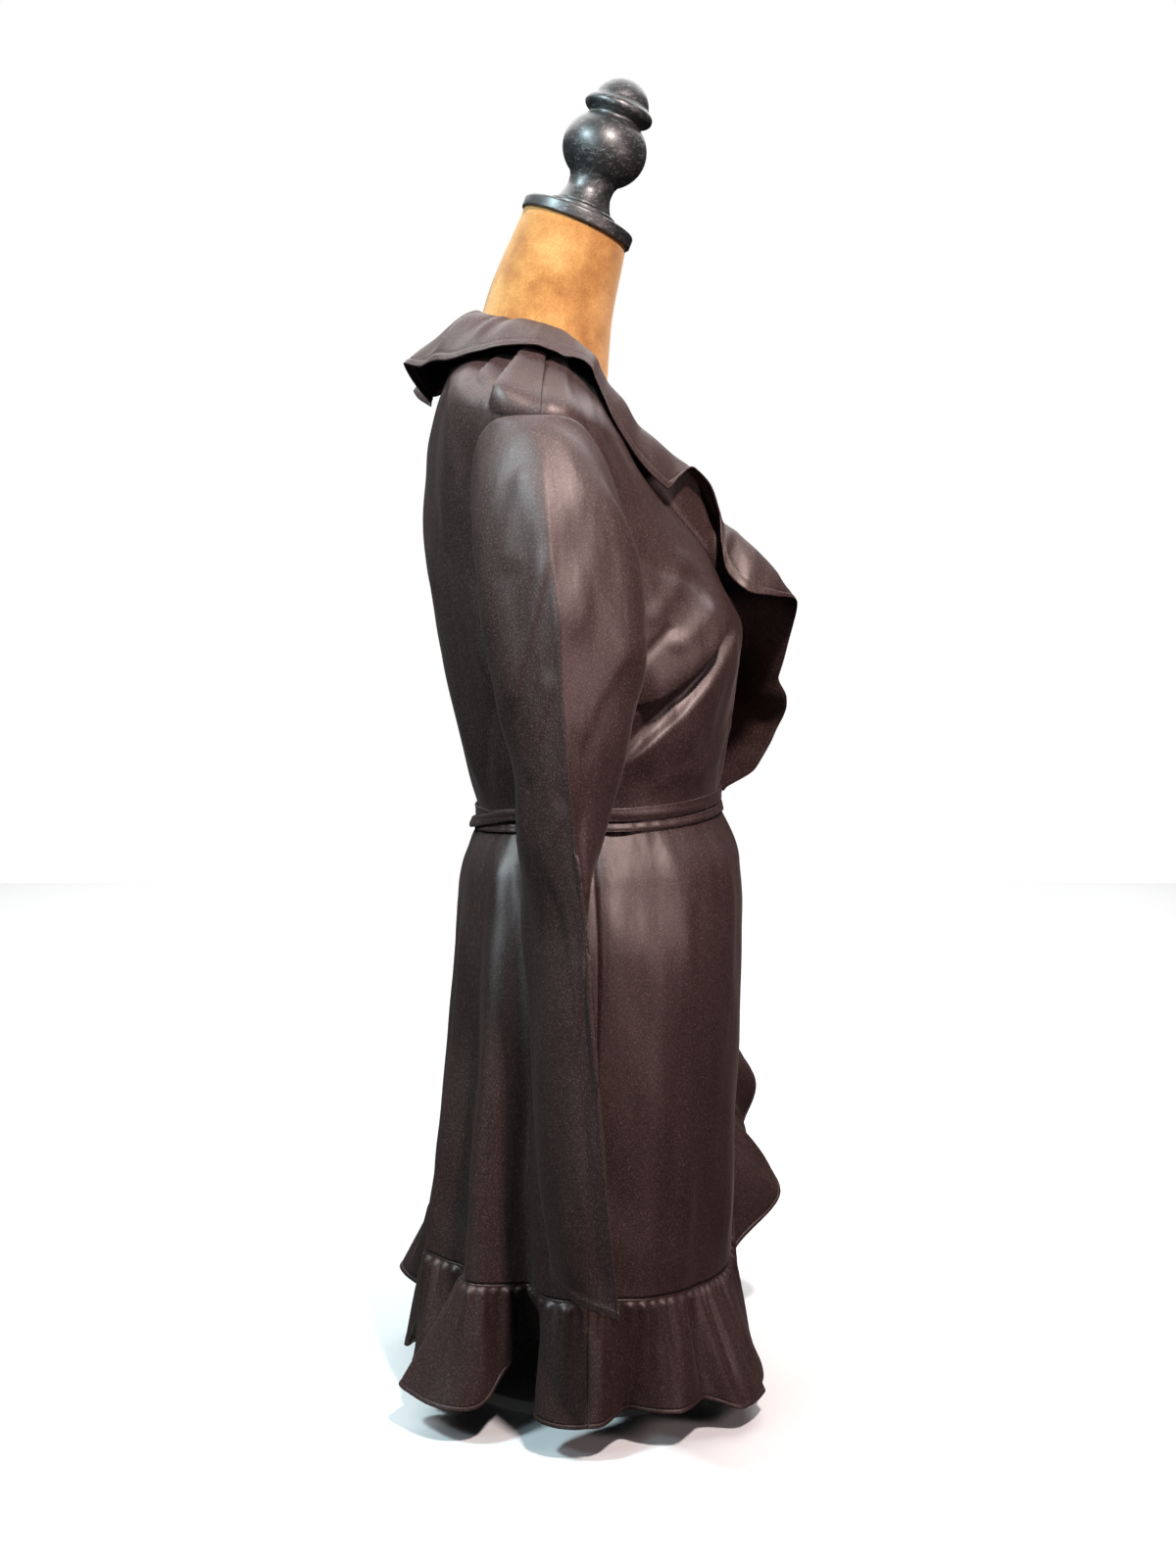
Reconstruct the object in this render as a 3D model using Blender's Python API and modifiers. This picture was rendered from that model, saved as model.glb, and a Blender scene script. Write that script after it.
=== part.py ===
"""Wrap dress in black satin on a small suede-covered dress form with a turned finial.

Metres, +Z up, origin on the floor on the pole's axis.  The dress faces -Y, the wearer's right side
is -X.  Angles go round the body: 0 is the wearer's left side, 90 the back, 180 the right side and
270 the front.  The level t counts the rows of the ring tables: 0 at the hem seam, 5 at the waist,
8 at the armpit, 10 at the shoulder tip and 12 at the neck.
"""
from collections import namedtuple
from math import pi, radians

import bpy
import bmesh
import numpy as np
from mathutils import Matrix

# Cloth and seams
WALL = 0.0015                  # thickness of a cloth panel
RUFFLE_WALL = 0.0012           # thickness of a ruffle
SEAM = 0.00035                 # gap left between two pieces at a seam
RUFFLE_GAP = 0.0005            # from a skirt panel's edge to its ruffle
LAYER = WALL + 0.0022          # how far the over front stands off the under front
UNDER_INSET = 0.0035           # how far the under skirt falls back beneath the over front
FORM_CLEARANCE = 0.0032        # from the form to the cloth's inner face
FORM_HOLLOW = 0.0018           # and more where the under front's edge crosses the ribs
SHOULDER_CLEARANCE = 0.0011    # and where the dress rests on the shoulders

# Levels of the ring tables
WAIST, BUST, ARMPIT, ARMHOLE_MIDDLE, SHOULDER, NECK = 5.0, 7.0, 8.0, 9.0, 10.0, 12.0
WAIST_EDGE = 0.06              # level step of the short upright strip at the waist seam
BODICE_RUFFLE_END = 5.22       # level where the neck ruffle stops above the belt

# Stand
BASE_RADIUS = 0.120
BASE_THICKNESS = 0.010
POLE_RADIUS = 0.0125
FORM_FOOT = 0.262              # height of the form's flat underside

# Finial
FINIAL_LEAN = radians(21.5)    # forward lean of the neck cap and the finial
FINIAL_FOOT = (0.0, 0.0105, 0.9500)

Ring = namedtuple("Ring", "z_front z_side z_back half_width y_front y_side y_back square")
DRESS_RINGS = (
    Ring(0.106, 0.121, 0.127, 0.182, -0.115, 0.000, 0.131, 2.3),   # hem seam
    Ring(0.200, 0.200, 0.200, 0.176, -0.120, -0.002, 0.126, 2.3),  # low skirt
    Ring(0.290, 0.290, 0.290, 0.170, -0.1235, -0.006, 0.117, 2.3),  # mid skirt
    Ring(0.372, 0.372, 0.372, 0.161, -0.1265, -0.008, 0.1115, 2.3),  # hip
    Ring(0.435, 0.430, 0.428, 0.142, -0.1215, -0.006, 0.103, 2.25),  # high hip
    Ring(0.487, 0.479, 0.472, 0.121, -0.1035, -0.004, 0.0925, 2.2),  # waist
    Ring(0.548, 0.540, 0.552, 0.132, -0.1125, 0.002, 0.1085, 2.2),  # ribs
    Ring(0.625, 0.595, 0.636, 0.147, -0.1185, 0.008, 0.1245, 2.25),  # bust
    Ring(0.677, 0.640, 0.708, 0.153, -0.100, 0.018, 0.1315, 2.3),  # armpit
    Ring(0.722, 0.710, 0.762, 0.164, -0.066, 0.029, 0.1285, 2.4),  # armhole middle
    Ring(0.757, 0.781, 0.806, 0.186, -0.036, 0.034, 0.1185, 2.4),  # shoulder tip
    Ring(0.790, 0.822, 0.845, 0.122, -0.021, 0.033, 0.107, 2.2),   # mid shoulder
    Ring(0.818, 0.852, 0.871, 0.064, -0.0175, 0.031, 0.0925, 2.0),  # neck base
)
# The form has its own rings below the waist, and its neck above the dress
FORM_RINGS = (
    Ring(0.262, 0.262, 0.262, 0.140, -0.104, -0.006, 0.090, 2.2),  # flat foot
    Ring(0.276, 0.276, 0.276, 0.150, -0.113, -0.006, 0.099, 2.2),  # rounded foot edge
    Ring(0.320, 0.320, 0.320, 0.153, -0.118, -0.008, 0.103, 2.3),  # seat
    Ring(0.372, 0.372, 0.372, 0.152, -0.119, -0.008, 0.101, 2.3),  # hip
    Ring(0.435, 0.430, 0.428, 0.137, -0.115, -0.006, 0.096, 2.25),  # high hip
) + DRESS_RINGS[5:] + (
    Ring(0.868, 0.890, 0.909, 0.0515, -0.0170, 0.031, 0.0790, 2.0),  # neck
    Ring(0.9315, 0.9485, 0.9655, 0.0445, -0.0315, 0.011, 0.0535, 2.0),  # neck top
)

# Bust: a low mound on each side of the front
BUST_ANGLE, BUST_SPREAD, BUST_HEIGHT = 33.0, 19.0, 0.008

# Long soft folds of the skirt: angle at the hem and at the top, depth outward, spread, top level
SkirtFold = namedtuple("SkirtFold", "hem_angle top_angle depth spread top")
SKIRT_FOLDS = (
    SkirtFold(157, 150, -0.0270, 8.0, 4.3),   # deep valley behind the right arm
    SkirtFold(143, 140, 0.0070, 6.0, 4.8),
    SkirtFold(128, 128, -0.0060, 6.0, 4.6),
    SkirtFold(112, 118, 0.0050, 6.0, 4.6),
    SkirtFold(96, 102, -0.0050, 6.0, 4.2),
    SkirtFold(78, 80, 0.0050, 7.0, 4.5),
    SkirtFold(60, 62, -0.0080, 7.0, 4.4),
    SkirtFold(42, 46, 0.0070, 7.0, 4.6),
    SkirtFold(24, 29, -0.0150, 8.0, 4.2),
    SkirtFold(5, 7, 0.0060, 7.0, 3.6),
    SkirtFold(175, 172, 0.0060, 6.0, 3.4),
    SkirtFold(197, 202, 0.0035, 8.0, 3.6),
    SkirtFold(226, 229, -0.0035, 9.0, 3.8),
    SkirtFold(322, 326, -0.0040, 9.0, 3.4),
    SkirtFold(343, 338, 0.0050, 8.0, 3.6),
)

# Folds of the bodice: a line from one angle and level to another, its depth outward and its spread
BodiceFold = namedtuple("BodiceFold", "angle_from level_from angle_to level_to depth spread")
RIGHT_BODICE_FOLDS = (
    BodiceFold(200, 5.62, 264, 7.05, 0.0050, 0.20),   # ridge from the side waist to the bust
    BodiceFold(206, 5.15, 270, 6.35, 0.0035, 0.18),   # and the one below it, a deep fold between
    BodiceFold(212, 6.45, 246, 6.75, 0.0020, 0.14),   # dart
)
BACK_BODICE_FOLDS = (
    BodiceFold(150, 5.2, 138, 8.2, 0.0035, 0.32),
    BodiceFold(118, 5.2, 112, 7.8, 0.0025, 0.30),
    BodiceFold(30, 5.2, 42, 8.2, 0.0035, 0.32),
    BodiceFold(62, 5.2, 68, 7.8, 0.0025, 0.30),
    BodiceFold(166, 10.5, 132, 11.2, 0.0060, 0.42),   # loose cloth behind the right shoulder
    BodiceFold(14, 10.5, 48, 11.2, 0.0060, 0.42),     # and behind the left one
)

# Free edge of the over front's bodice, as the angle at each level from the waist to the neck
NECKLINE = {5: 335, 6: 311, 7: 275, 8: 261, 9: 255, 10: 252, 11: 238, 12: 195}
SKIRT_EDGE_AT_HEM, SKIRT_EDGE_AT_WAIST, SKIRT_EDGE_CURVE = 243.0, 335.0, 2.5
UNDER_EDGE_AT_HEM, UNDER_EDGE_AT_WAIST = 261.0, 205.0
EDGE_CORNER = 1.0              # level where the over front's lower edge becomes its free edge
SKIRT_COLUMNS = {"back": 31, "right": 18, "left": 13}

# Armhole: half its opening angle, and how square it is
ARMHOLE_HALF_ANGLE, ARMHOLE_SQUARE = 29.0, 3.0
BACK_COLUMNS = 17              # columns of the back bodice
NECK_GAP = 0.0007              # from the neckline to the ruffle that stands in it
ARMHOLE_GAP = 0.0010           # the sleeve stands this far inside the armhole's edge
ARMHOLE_RISE = 0.0055          # and goes straight out this far before it turns down
ARMHOLE_STEPS = 8              # rows of the bodice along the armhole, and half the sleeve's columns

# Sections of the right sleeve, from the cap to the wrist: heights of the creased outer side and of
# the inner side, then the crease, the front, the inner and the back point of the section
Section = namedtuple("Section", "z_out z_in crease front inner back sharp")
SLEEVE_SECTIONS = (
    Section(0.772, 0.640, (-0.205, 0.035), (-0.184, -0.020), (-0.164, 0.020), (-0.184, 0.082), 0.0),
    Section(0.738, 0.634, (-0.228, 0.031), (-0.193, -0.034), (-0.166, 0.020), (-0.192, 0.084), 0.2),
    Section(0.690, 0.618, (-0.243, 0.027), (-0.199, -0.041), (-0.166, 0.016), (-0.197, 0.081), 0.5),
    Section(0.636, 0.590, (-0.251, 0.021), (-0.203, -0.043), (-0.164, 0.014), (-0.201, 0.0755), 0.7),
    Section(0.586, 0.560, (-0.253, 0.0185), (-0.205, -0.037), (-0.163, 0.014), (-0.203, 0.068), 0.8),
    Section(0.532, 0.520, (-0.252, 0.0145), (-0.204, -0.027), (-0.164, 0.017), (-0.205, 0.0565), 0.9),
    Section(0.474, 0.474, (-0.249, 0.0085), (-0.203, -0.012), (-0.168, 0.030), (-0.206, 0.052), 1.0),
    Section(0.400, 0.400, (-0.250, -0.001), (-0.205, 0.013), (-0.174, 0.046), (-0.217, 0.032), 1.0),
    Section(0.333, 0.333, (-0.254, -0.005), (-0.2075, 0.005), (-0.180, 0.0395), (-0.2245, 0.0285), 1.0),
    Section(0.220, 0.222, (-0.261, -0.0137), (-0.2150, -0.003), (-0.188, 0.034), (-0.2320, 0.023), 1.0),
    Section(0.134, 0.147, (-0.2655, -0.0226), (-0.2185, -0.011), (-0.193, 0.025), (-0.2350, 0.0135), 1.0),
)
SLEEVE_ROUNDNESS = 1.6         # swell of a section between its four points

# Hem ruffle, round the body: angle, how far the hem stands out of the seam, and the hem's height
HemWave = namedtuple("HemWave", "angle out z")
HEM_WAVES = (
    HemWave(0, 0.020, 0.034), HemWave(13, -0.006, 0.042), HemWave(27, 0.024, 0.030),
    HemWave(41, -0.008, 0.042), HemWave(55, 0.026, 0.036), HemWave(64, 0.004, 0.050),
    HemWave(74, 0.038, 0.062), HemWave(85, 0.002, 0.050), HemWave(97, 0.030, 0.030),
    HemWave(109, 0.000, 0.044), HemWave(120, 0.024, 0.034), HemWave(129, 0.008, 0.036),
    HemWave(136, 0.040, 0.031), HemWave(147, 0.018, 0.031), HemWave(158, -0.030, 0.062),
    HemWave(170, 0.014, 0.034), HemWave(181, 0.018, 0.033), HemWave(193, -0.008, 0.036),
    HemWave(206, 0.022, 0.031), HemWave(218, 0.016, 0.032), HemWave(230, 0.040, 0.023),
    HemWave(240, 0.042, 0.022), HemWave(254, -0.010, 0.047), HemWave(272, -0.014, 0.048),
    HemWave(288, -0.010, 0.046), HemWave(308, 0.020, 0.036), HemWave(326, -0.006, 0.044),
    HemWave(343, 0.022, 0.034), HemWave(360, 0.020, 0.034),
)
GATHER_PITCH = 0.0132          # length of seam in one gather, near enough
GATHER_DEPTH = 0.0016          # how far a gather stands out at the seam

# Ruffle on the over front's free edge: level, then the hem's place from the seam
EdgeWave = namedtuple("EdgeWave", "level right forward up")
EDGE_WAVES = (
    EdgeWave(0.12, 0.016, 0.010, -0.075), EdgeWave(0.42, 0.014, 0.006, -0.074),
    EdgeWave(0.85, 0.018, 0.056, -0.062), EdgeWave(1.25, 0.040, 0.028, -0.056),
    EdgeWave(1.70, 0.036, 0.042, -0.052), EdgeWave(2.20, 0.050, 0.014, -0.046),
    EdgeWave(2.80, 0.030, 0.006, -0.062), EdgeWave(3.40, 0.052, 0.012, -0.038),
    EdgeWave(4.00, 0.030, 0.000, -0.056), EdgeWave(4.60, 0.046, 0.004, -0.030),
    EdgeWave(4.93, 0.030, 0.002, -0.034),
)

# Neck ruffle, right half: place along the neckline (0 centre back, 1 shoulder seam, 2 waist), the
# hem's place from the neckline, and how far the middle swells up between them
NeckWave = namedtuple("NeckWave", "place out back up swell")
NECK_WAVES = (
    NeckWave(0.00, 0.000, 0.052, -0.048, 0.012), NeckWave(0.22, 0.018, 0.056, -0.036, 0.012),
    NeckWave(0.42, 0.034, 0.040, -0.040, 0.014), NeckWave(0.62, 0.050, 0.034, -0.020, 0.009),
    NeckWave(0.82, 0.056, 0.014, -0.019, 0.009), NeckWave(1.00, 0.057, 0.000, -0.016, 0.010),
    NeckWave(1.14, 0.052, -0.006, -0.018, 0.010), NeckWave(1.24, 0.046, -0.012, -0.024, 0.014),
    NeckWave(1.31, 0.034, -0.014, -0.016, 0.023), NeckWave(1.37, 0.022, -0.030, 0.012, 0.022),
    NeckWave(1.42, 0.010, -0.040, -0.006, 0.014), NeckWave(1.47, 0.018, -0.036, -0.044, 0.018),
    NeckWave(1.53, 0.006, -0.042, -0.044, 0.023), NeckWave(1.60, -0.010, -0.066, -0.012, 0.014),
    NeckWave(1.66, 0.000, -0.050, -0.030, 0.010), NeckWave(1.72, 0.004, -0.038, -0.032, 0.010),
    NeckWave(1.77, -0.004, -0.048, -0.022, 0.010), NeckWave(1.84, 0.008, -0.052, -0.024, 0.010),
    NeckWave(1.90, 0.006, -0.054, -0.022, 0.008), NeckWave(1.96, 0.002, -0.046, -0.008, 0.006),
)
NECK_RISE = 0.0038             # how far a neck ruffle stands up before it turns over
EDGE_SWELL = 0.009             # how far the middle of the free edge's ruffle swells up
LEFT_NECK_END = 1.62           # the left half stops where the over front covers it

# Tie belt: each wrap's lower and upper edge from the waist seam
Wrap = namedtuple("Wrap", "low high")
UPPER_WRAP = Wrap(-0.0018, 0.0087)
LOWER_WRAP = Wrap(-0.0095, -0.0030)
BELT_WALL = 0.0014
BELT_CROWN = 0.0007            # the middle of the tie stands out this far
BELT_CLEARANCE = 0.0012        # from the cloth, and between strands
KNOT_ANGLE = 352.0

BLACK_SATIN = ("black satin", (0.035, 0.030, 0.029, 1.0), 0.36, 0.0)
CAMEL_SUEDE = ("camel suede", (0.62, 0.33, 0.11, 1.0), 0.95, 0.0)
BLACK_WOOD = ("black painted wood", (0.030, 0.029, 0.028, 1.0), 0.42, 0.0)
PAINTED_STEEL = ("white painted steel", (0.86, 0.86, 0.85, 1.0), 0.45, 0.0)


def clear_scene():
    """Remove every object that the file opened with."""
    for thing in list(bpy.data.objects):
        bpy.data.objects.remove(thing)


def spline(places, values, at):
    """Smooth curve through values at rising places, level at each peak, read at `at`."""
    x = np.asarray(places, float)
    y = np.asarray(values, float)
    at = np.clip(np.asarray(at, float), x[0], x[-1])
    step = np.diff(x)
    slope = np.diff(y) / step
    tangent = np.empty_like(y)
    tangent[0] = slope[0]
    tangent[-1] = slope[-1]
    before = slope[:-1]
    after = slope[1:]
    same_way = before * after > 0.0
    total = np.where(same_way, before + after, 1.0)
    tangent[1:-1] = np.where(same_way, 2.0 * before * after / total, 0.0)
    i = np.clip(np.searchsorted(x, at, side="right") - 1, 0, len(x) - 2)
    h = step[i]
    s = (at - x[i]) / h
    start = (2 * s ** 3 - 3 * s ** 2 + 1) * y[i] + (s ** 3 - 2 * s ** 2 + s) * h * tangent[i]
    end = (3 * s ** 2 - 2 * s ** 3) * y[i + 1] + (s ** 3 - s ** 2) * h * tangent[i + 1]
    return start + end


def column(rows, name, at, places=None):
    """One named column of a table, smoothed between its rows."""
    if places is None:
        places = range(len(rows))
    return spline(places, [getattr(row, name) for row in rows], at)


def ease(x):
    """0 below 0, 1 above 1, smooth between."""
    x = np.clip(x, 0.0, 1.0)
    return x * x * (3.0 - 2.0 * x)


def swell(distance, spread):
    """Bell curve of a soft fold across its line."""
    return np.exp(-(distance / spread) ** 2)


def ring_points(rings, angle, level):
    """Body surface: two half superellipses that meet at the sides, with tilted rings."""
    a = np.radians(angle)
    c = np.cos(a)
    s = np.sin(a)
    power = 2.0 / column(rings, "square", level)
    y_side = column(rings, "y_side", level)
    z_side = column(rings, "z_side", level)
    front = s < 0.0
    y_end = np.where(front, column(rings, "y_front", level), column(rings, "y_back", level))
    z_end = np.where(front, column(rings, "z_front", level), column(rings, "z_back", level))
    x = column(rings, "half_width", level) * np.sign(c) * np.abs(c) ** power
    y = y_side + (y_end - y_side) * np.abs(s) ** power
    z = z_side + (z_end - z_side) * s * s
    return np.stack(np.broadcast_arrays(x, y, z), axis=-1)


def surface_normals(surface, angle, level):
    """Unit normals of a surface, outward, from small steps along both parameters."""
    d_angle = 0.5
    d_level = 0.01
    low = np.maximum(level - d_level, 0.0)
    across = surface(angle + d_angle, level) - surface(angle - d_angle, level)
    along = surface(angle, level + d_level) - surface(angle, low)
    normal = np.cross(across, along)
    return normal / np.linalg.norm(normal, axis=-1, keepdims=True)


def bust_swell(angle, level):
    """Height of the two bust mounds over the ring surface."""
    side = swell(angle - 270.0 + BUST_ANGLE, BUST_SPREAD) + swell(angle - 270.0 - BUST_ANGLE, BUST_SPREAD)
    return BUST_HEIGHT * side * swell(level - BUST, 0.75)


def skirt_fold_depth(angle, level):
    """Sum of the skirt's long folds, which fade out towards their top levels."""
    depth = np.zeros(np.broadcast(angle, level).shape)
    for fold in SKIRT_FOLDS:
        share = np.clip(level / fold.top, 0.0, 1.0)
        centre = fold.hem_angle + (fold.top_angle - fold.hem_angle) * share
        away = (angle - centre + 180.0) % 360.0 - 180.0
        depth = depth + fold.depth * swell(away, fold.spread) * (1.0 - share) ** 0.8
    return depth


def bodice_fold_depth(folds, angle, level):
    """Sum of straight folds drawn on the bodice from one angle and level to another."""
    depth = np.zeros(np.broadcast(angle, level).shape)
    degrees_per_level = 30.0
    for fold in folds:
        start = np.array([fold.angle_from / degrees_per_level, fold.level_from])
        run = np.array([fold.angle_to / degrees_per_level, fold.level_to]) - start
        dx = angle / degrees_per_level - start[0]
        dy = level - start[1]
        share = (dx * run[0] + dy * run[1]) / (run @ run)
        away = np.abs(dx * run[1] - dy * run[0]) / np.sqrt(run @ run)
        ends = ease(share / 0.25 + 0.5) * ease((1.0 - share) / 0.25 + 0.5)
        depth = depth + fold.depth * swell(away, fold.spread) * ends
    return depth


def dress_base(angle, level):
    """Ring surface with the bust, without folds."""
    return ring_points(DRESS_RINGS, angle, level)


def dress_points(angle, level, outward, folds=()):
    """Points on the dress, moved outward by a layer offset and the folds."""
    angle, level = np.broadcast_arrays(np.asarray(angle, float), np.asarray(level, float))
    lift = outward + bust_swell(angle, level)
    lift = lift + np.where(level < WAIST, skirt_fold_depth(angle, level), 0.0)
    lift = lift + bodice_fold_depth(folds, angle, level) * ease((level - WAIST - 0.15) / 0.6)
    return dress_base(angle, level) + surface_normals(dress_base, angle, level) * lift[..., None]


def form_points(angle, level):
    """Points on the form, which is the dress surface less its clearance."""
    def base(a, t):
        return ring_points(FORM_RINGS, a, t)
    angle, level = np.broadcast_arrays(np.asarray(angle, float), np.asarray(level, float))
    resting = ease((level - SHOULDER - 0.3) / 0.7)
    clearance = FORM_CLEARANCE + (SHOULDER_CLEARANCE - FORM_CLEARANCE) * resting
    under_bust = swell(level - 5.9, 0.6) * swell(angle - 242.0, 34.0)
    lift = 0.7 * bust_swell(angle, level) - clearance - FORM_HOLLOW * under_bust
    return base(angle, level) + surface_normals(base, angle, level) * lift[..., None]


def grid_object(name, points, material, wall=0.0, offset=1.0, closed=False, cap_rows=()):
    """Mesh of a grid of points (rows, columns, xyz), with Solidify for an open sheet."""
    rows, columns = points.shape[:2]
    mesh = bpy.data.meshes.new(name)
    body = bmesh.new()
    verts = [[body.verts.new(p) for p in row] for row in points.tolist()]
    last = columns if closed else columns - 1
    for i in range(rows - 1):
        for j in range(last):
            k = (j + 1) % columns
            body.faces.new((verts[i][j], verts[i][k], verts[i + 1][k], verts[i + 1][j]))
    for i in cap_rows:
        loop = verts[i] if i else verts[i][::-1]
        body.faces.new(loop)
    body.to_mesh(mesh)
    body.free()
    thing = bpy.data.objects.new(name, mesh)
    PARTS.objects.link(thing)
    thing.data.materials.append(material)
    mesh.shade_smooth()
    if wall:
        solid = thing.modifiers.new("cloth wall", "SOLIDIFY")
        solid.thickness = wall
        solid.offset = offset
    return thing


def make_material(spec):
    """Principled material from a name, colour, roughness and metallic value."""
    name, colour, roughness, metallic = spec
    material = bpy.data.materials.new(name)
    material.use_nodes = True
    shader = material.node_tree.nodes["Principled BSDF"]
    shader.inputs["Base Color"].default_value = colour
    shader.inputs["Roughness"].default_value = roughness
    shader.inputs["Metallic"].default_value = metallic
    material.diffuse_color = colour
    return material


def armhole_opening(level):
    """Half angle of the armhole at a level, 0 below the armpit and above the shoulder tip."""
    inside = 1.0 - np.abs(np.clip(level - ARMHOLE_MIDDLE, -1.0, 1.0)) ** ARMHOLE_SQUARE
    return ARMHOLE_HALF_ANGLE * np.clip(inside, 0.0, 1.0) ** (1.0 / ARMHOLE_SQUARE)


def side_seam(level):
    """Side seam: a straight cut at 180 degrees, measured as the sine power law needs."""
    power = 2.0 / column(DRESS_RINGS, "square", level)
    depth = column(DRESS_RINGS, "y_back", level) - column(DRESS_RINGS, "y_side", level)
    return np.degrees(np.arcsin((0.5 * SEAM / depth) ** (1.0 / power)))


def neckline_angle(level):
    """Angle of the over front's free edge in the bodice."""
    return spline(list(NECKLINE), list(NECKLINE.values()), level)


def skirt_edge_angle(level):
    """Angle of the over front's free edge in the skirt, curving round into the hem."""
    share = np.clip(level / WAIST, 0.0, 1.0) ** (1.0 / SKIRT_EDGE_CURVE)
    return SKIRT_EDGE_AT_HEM + (SKIRT_EDGE_AT_WAIST - SKIRT_EDGE_AT_HEM) * share


def over_bottom(angle):
    """Level of the over front's lower edge at each angle, the same curve the other way."""
    share = (angle - SKIRT_EDGE_AT_HEM) / (SKIRT_EDGE_AT_WAIST - SKIRT_EDGE_AT_HEM)
    return WAIST * np.clip(share, 0.0, 1.0) ** SKIRT_EDGE_CURVE


def under_edge_angle(level):
    """Angle of the under front's free edge, all the way down the dress."""
    share = np.clip(level / WAIST, 0.0, 1.0)
    in_skirt = UNDER_EDGE_AT_HEM + (UNDER_EDGE_AT_WAIST - UNDER_EDGE_AT_HEM) * share
    return np.where(level < WAIST, in_skirt, 540.0 - neckline_angle(level))


def over_front_offset(angle, level):
    """The over front is level with the back at its side seam, and rises onto the under front."""
    return LAYER * ease((angle - under_edge_angle(level) + 22.0) / 16.0)


def no_offset(angle, level):
    """The back and the bodice's under front lie on the body surface itself."""
    return 0.0 * angle + 0.0 * level


def under_skirt_offset(angle, level):
    """The skirt's under front falls back where the over front hangs in front of it."""
    covered = ease((skirt_edge_angle(level) + 12.0 - angle) / 20.0)
    return -UNDER_INSET * covered * ease((WAIST - level) / 1.6)


def bodice_levels():
    """Levels of the bodice's rows, closer together round the armhole's ends."""
    low = np.linspace(BODICE_RUFFLE_END, ARMPIT, 8)
    armhole = ARMHOLE_MIDDLE - np.cos(np.linspace(0.0, pi, ARMHOLE_STEPS + 1))
    high = np.linspace(SHOULDER, NECK, 5)
    return np.concatenate([[WAIST, WAIST + WAIST_EDGE], low, armhole[1:], high[1:]])


SKIRT_ROWS = np.concatenate([[0.972], 0.93 * np.linspace(1.0, 0.0, 7) ** 1.45])[:, None]


def waist_gap(points, up):
    """Move a panel's waist edge off the seam line by half the gap."""
    points = points.copy()
    points[0, :, 2] += 0.6 * SEAM * up
    return points


def mirror(points):
    """The same piece for the other side of the body, still facing outward."""
    flipped = points[:, ::-1].copy()
    flipped[..., 0] *= -1.0
    return flipped


def make_bodice_back(material):
    """Back bodice, from side seam to side seam and up to the back neck."""
    level = bodice_levels()[:, None]
    side = armhole_opening(level) + side_seam(level)
    share = np.linspace(0.0, 1.0, BACK_COLUMNS)[None, :]
    angle = side + (180.0 - 2.0 * side) * share
    points = dress_points(angle, level, 0.0, BACK_BODICE_FOLDS)
    grid_object("bodice_back", waist_gap(points, 1.0), material, WALL)


def front_bodice_grid(outward, folds, columns):
    """Grid of a front on the wearer's right, from the side seam to the neckline."""
    level = bodice_levels()[:, None]
    start = 180.0 + armhole_opening(level) + side_seam(level)
    share = np.linspace(0.0, 1.0, columns)[None, :]
    angle = start + (neckline_angle(level) - start) * share
    return waist_gap(dress_points(angle, level, outward(angle, level), folds), 1.0)


def make_bodice_fronts(material):
    """Over front on the wearer's right and under front on the left."""
    over = front_bodice_grid(over_front_offset, RIGHT_BODICE_FOLDS, 15)
    grid_object("bodice_front_right", over, material, WALL)
    under = front_bodice_grid(no_offset, (), 12)
    grid_object("bodice_front_left", mirror(under), material, WALL)


def skirt_grid(panel):
    """Grid of a skirt panel from the waist down, and the angle and level of each point."""
    share = np.linspace(0.0, 1.0, SKIRT_COLUMNS[panel])[None, :]
    corner = skirt_edge_angle(EDGE_CORNER)
    top = WAIST - WAIST_EDGE
    bottom = over_bottom(180.0 + (corner - 180.0) * share) if panel == "right" else 0.0 * share
    level = np.concatenate([
        np.full_like(share, WAIST), np.full_like(share, top), bottom + (top - bottom) * SKIRT_ROWS,
    ])
    if panel == "back":
        outward = no_offset
        start = side_seam(level[:, :1])
        end = 180.0 - side_seam(level[:, -1:])
    elif panel == "right":
        outward = over_front_offset
        start = 180.0 + side_seam(level[:, :1])
        end = skirt_edge_angle(level[:, -1:])
    else:
        outward = under_skirt_offset
        start = under_edge_angle(level[:, :1])
        end = 360.0 - side_seam(level[:, -1:])
    angle = start + (end - start) * share
    return waist_gap(dress_points(angle, level, outward(angle, level)), -1.0), angle, level


def make_skirt(material):
    """Back, over front and under front of the skirt."""
    for name, panel in (("skirt_back", "back"), ("skirt_front_right", "right"), ("skirt_front_left", "left")):
        points, _, _ = skirt_grid(panel)
        grid_object(name, points[:, ::-1], material, WALL)


def armhole_loop(turn, outward):
    """Closed curve just inside the right armhole: 0 tip, a quarter front, half armpit."""
    wave = 2.0 * pi * turn
    level = ARMHOLE_MIDDLE + (1.0 - ARMHOLE_GAP / 0.07) * np.cos(wave)
    on_edge = armhole_opening(ARMHOLE_MIDDLE + np.cos(wave))
    opening = np.maximum(on_edge - np.degrees(ARMHOLE_GAP / 0.11), 0.0)
    angle = 180.0 + np.sign(np.sin(wave)) * opening
    return dress_points(angle, level, outward)


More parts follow.
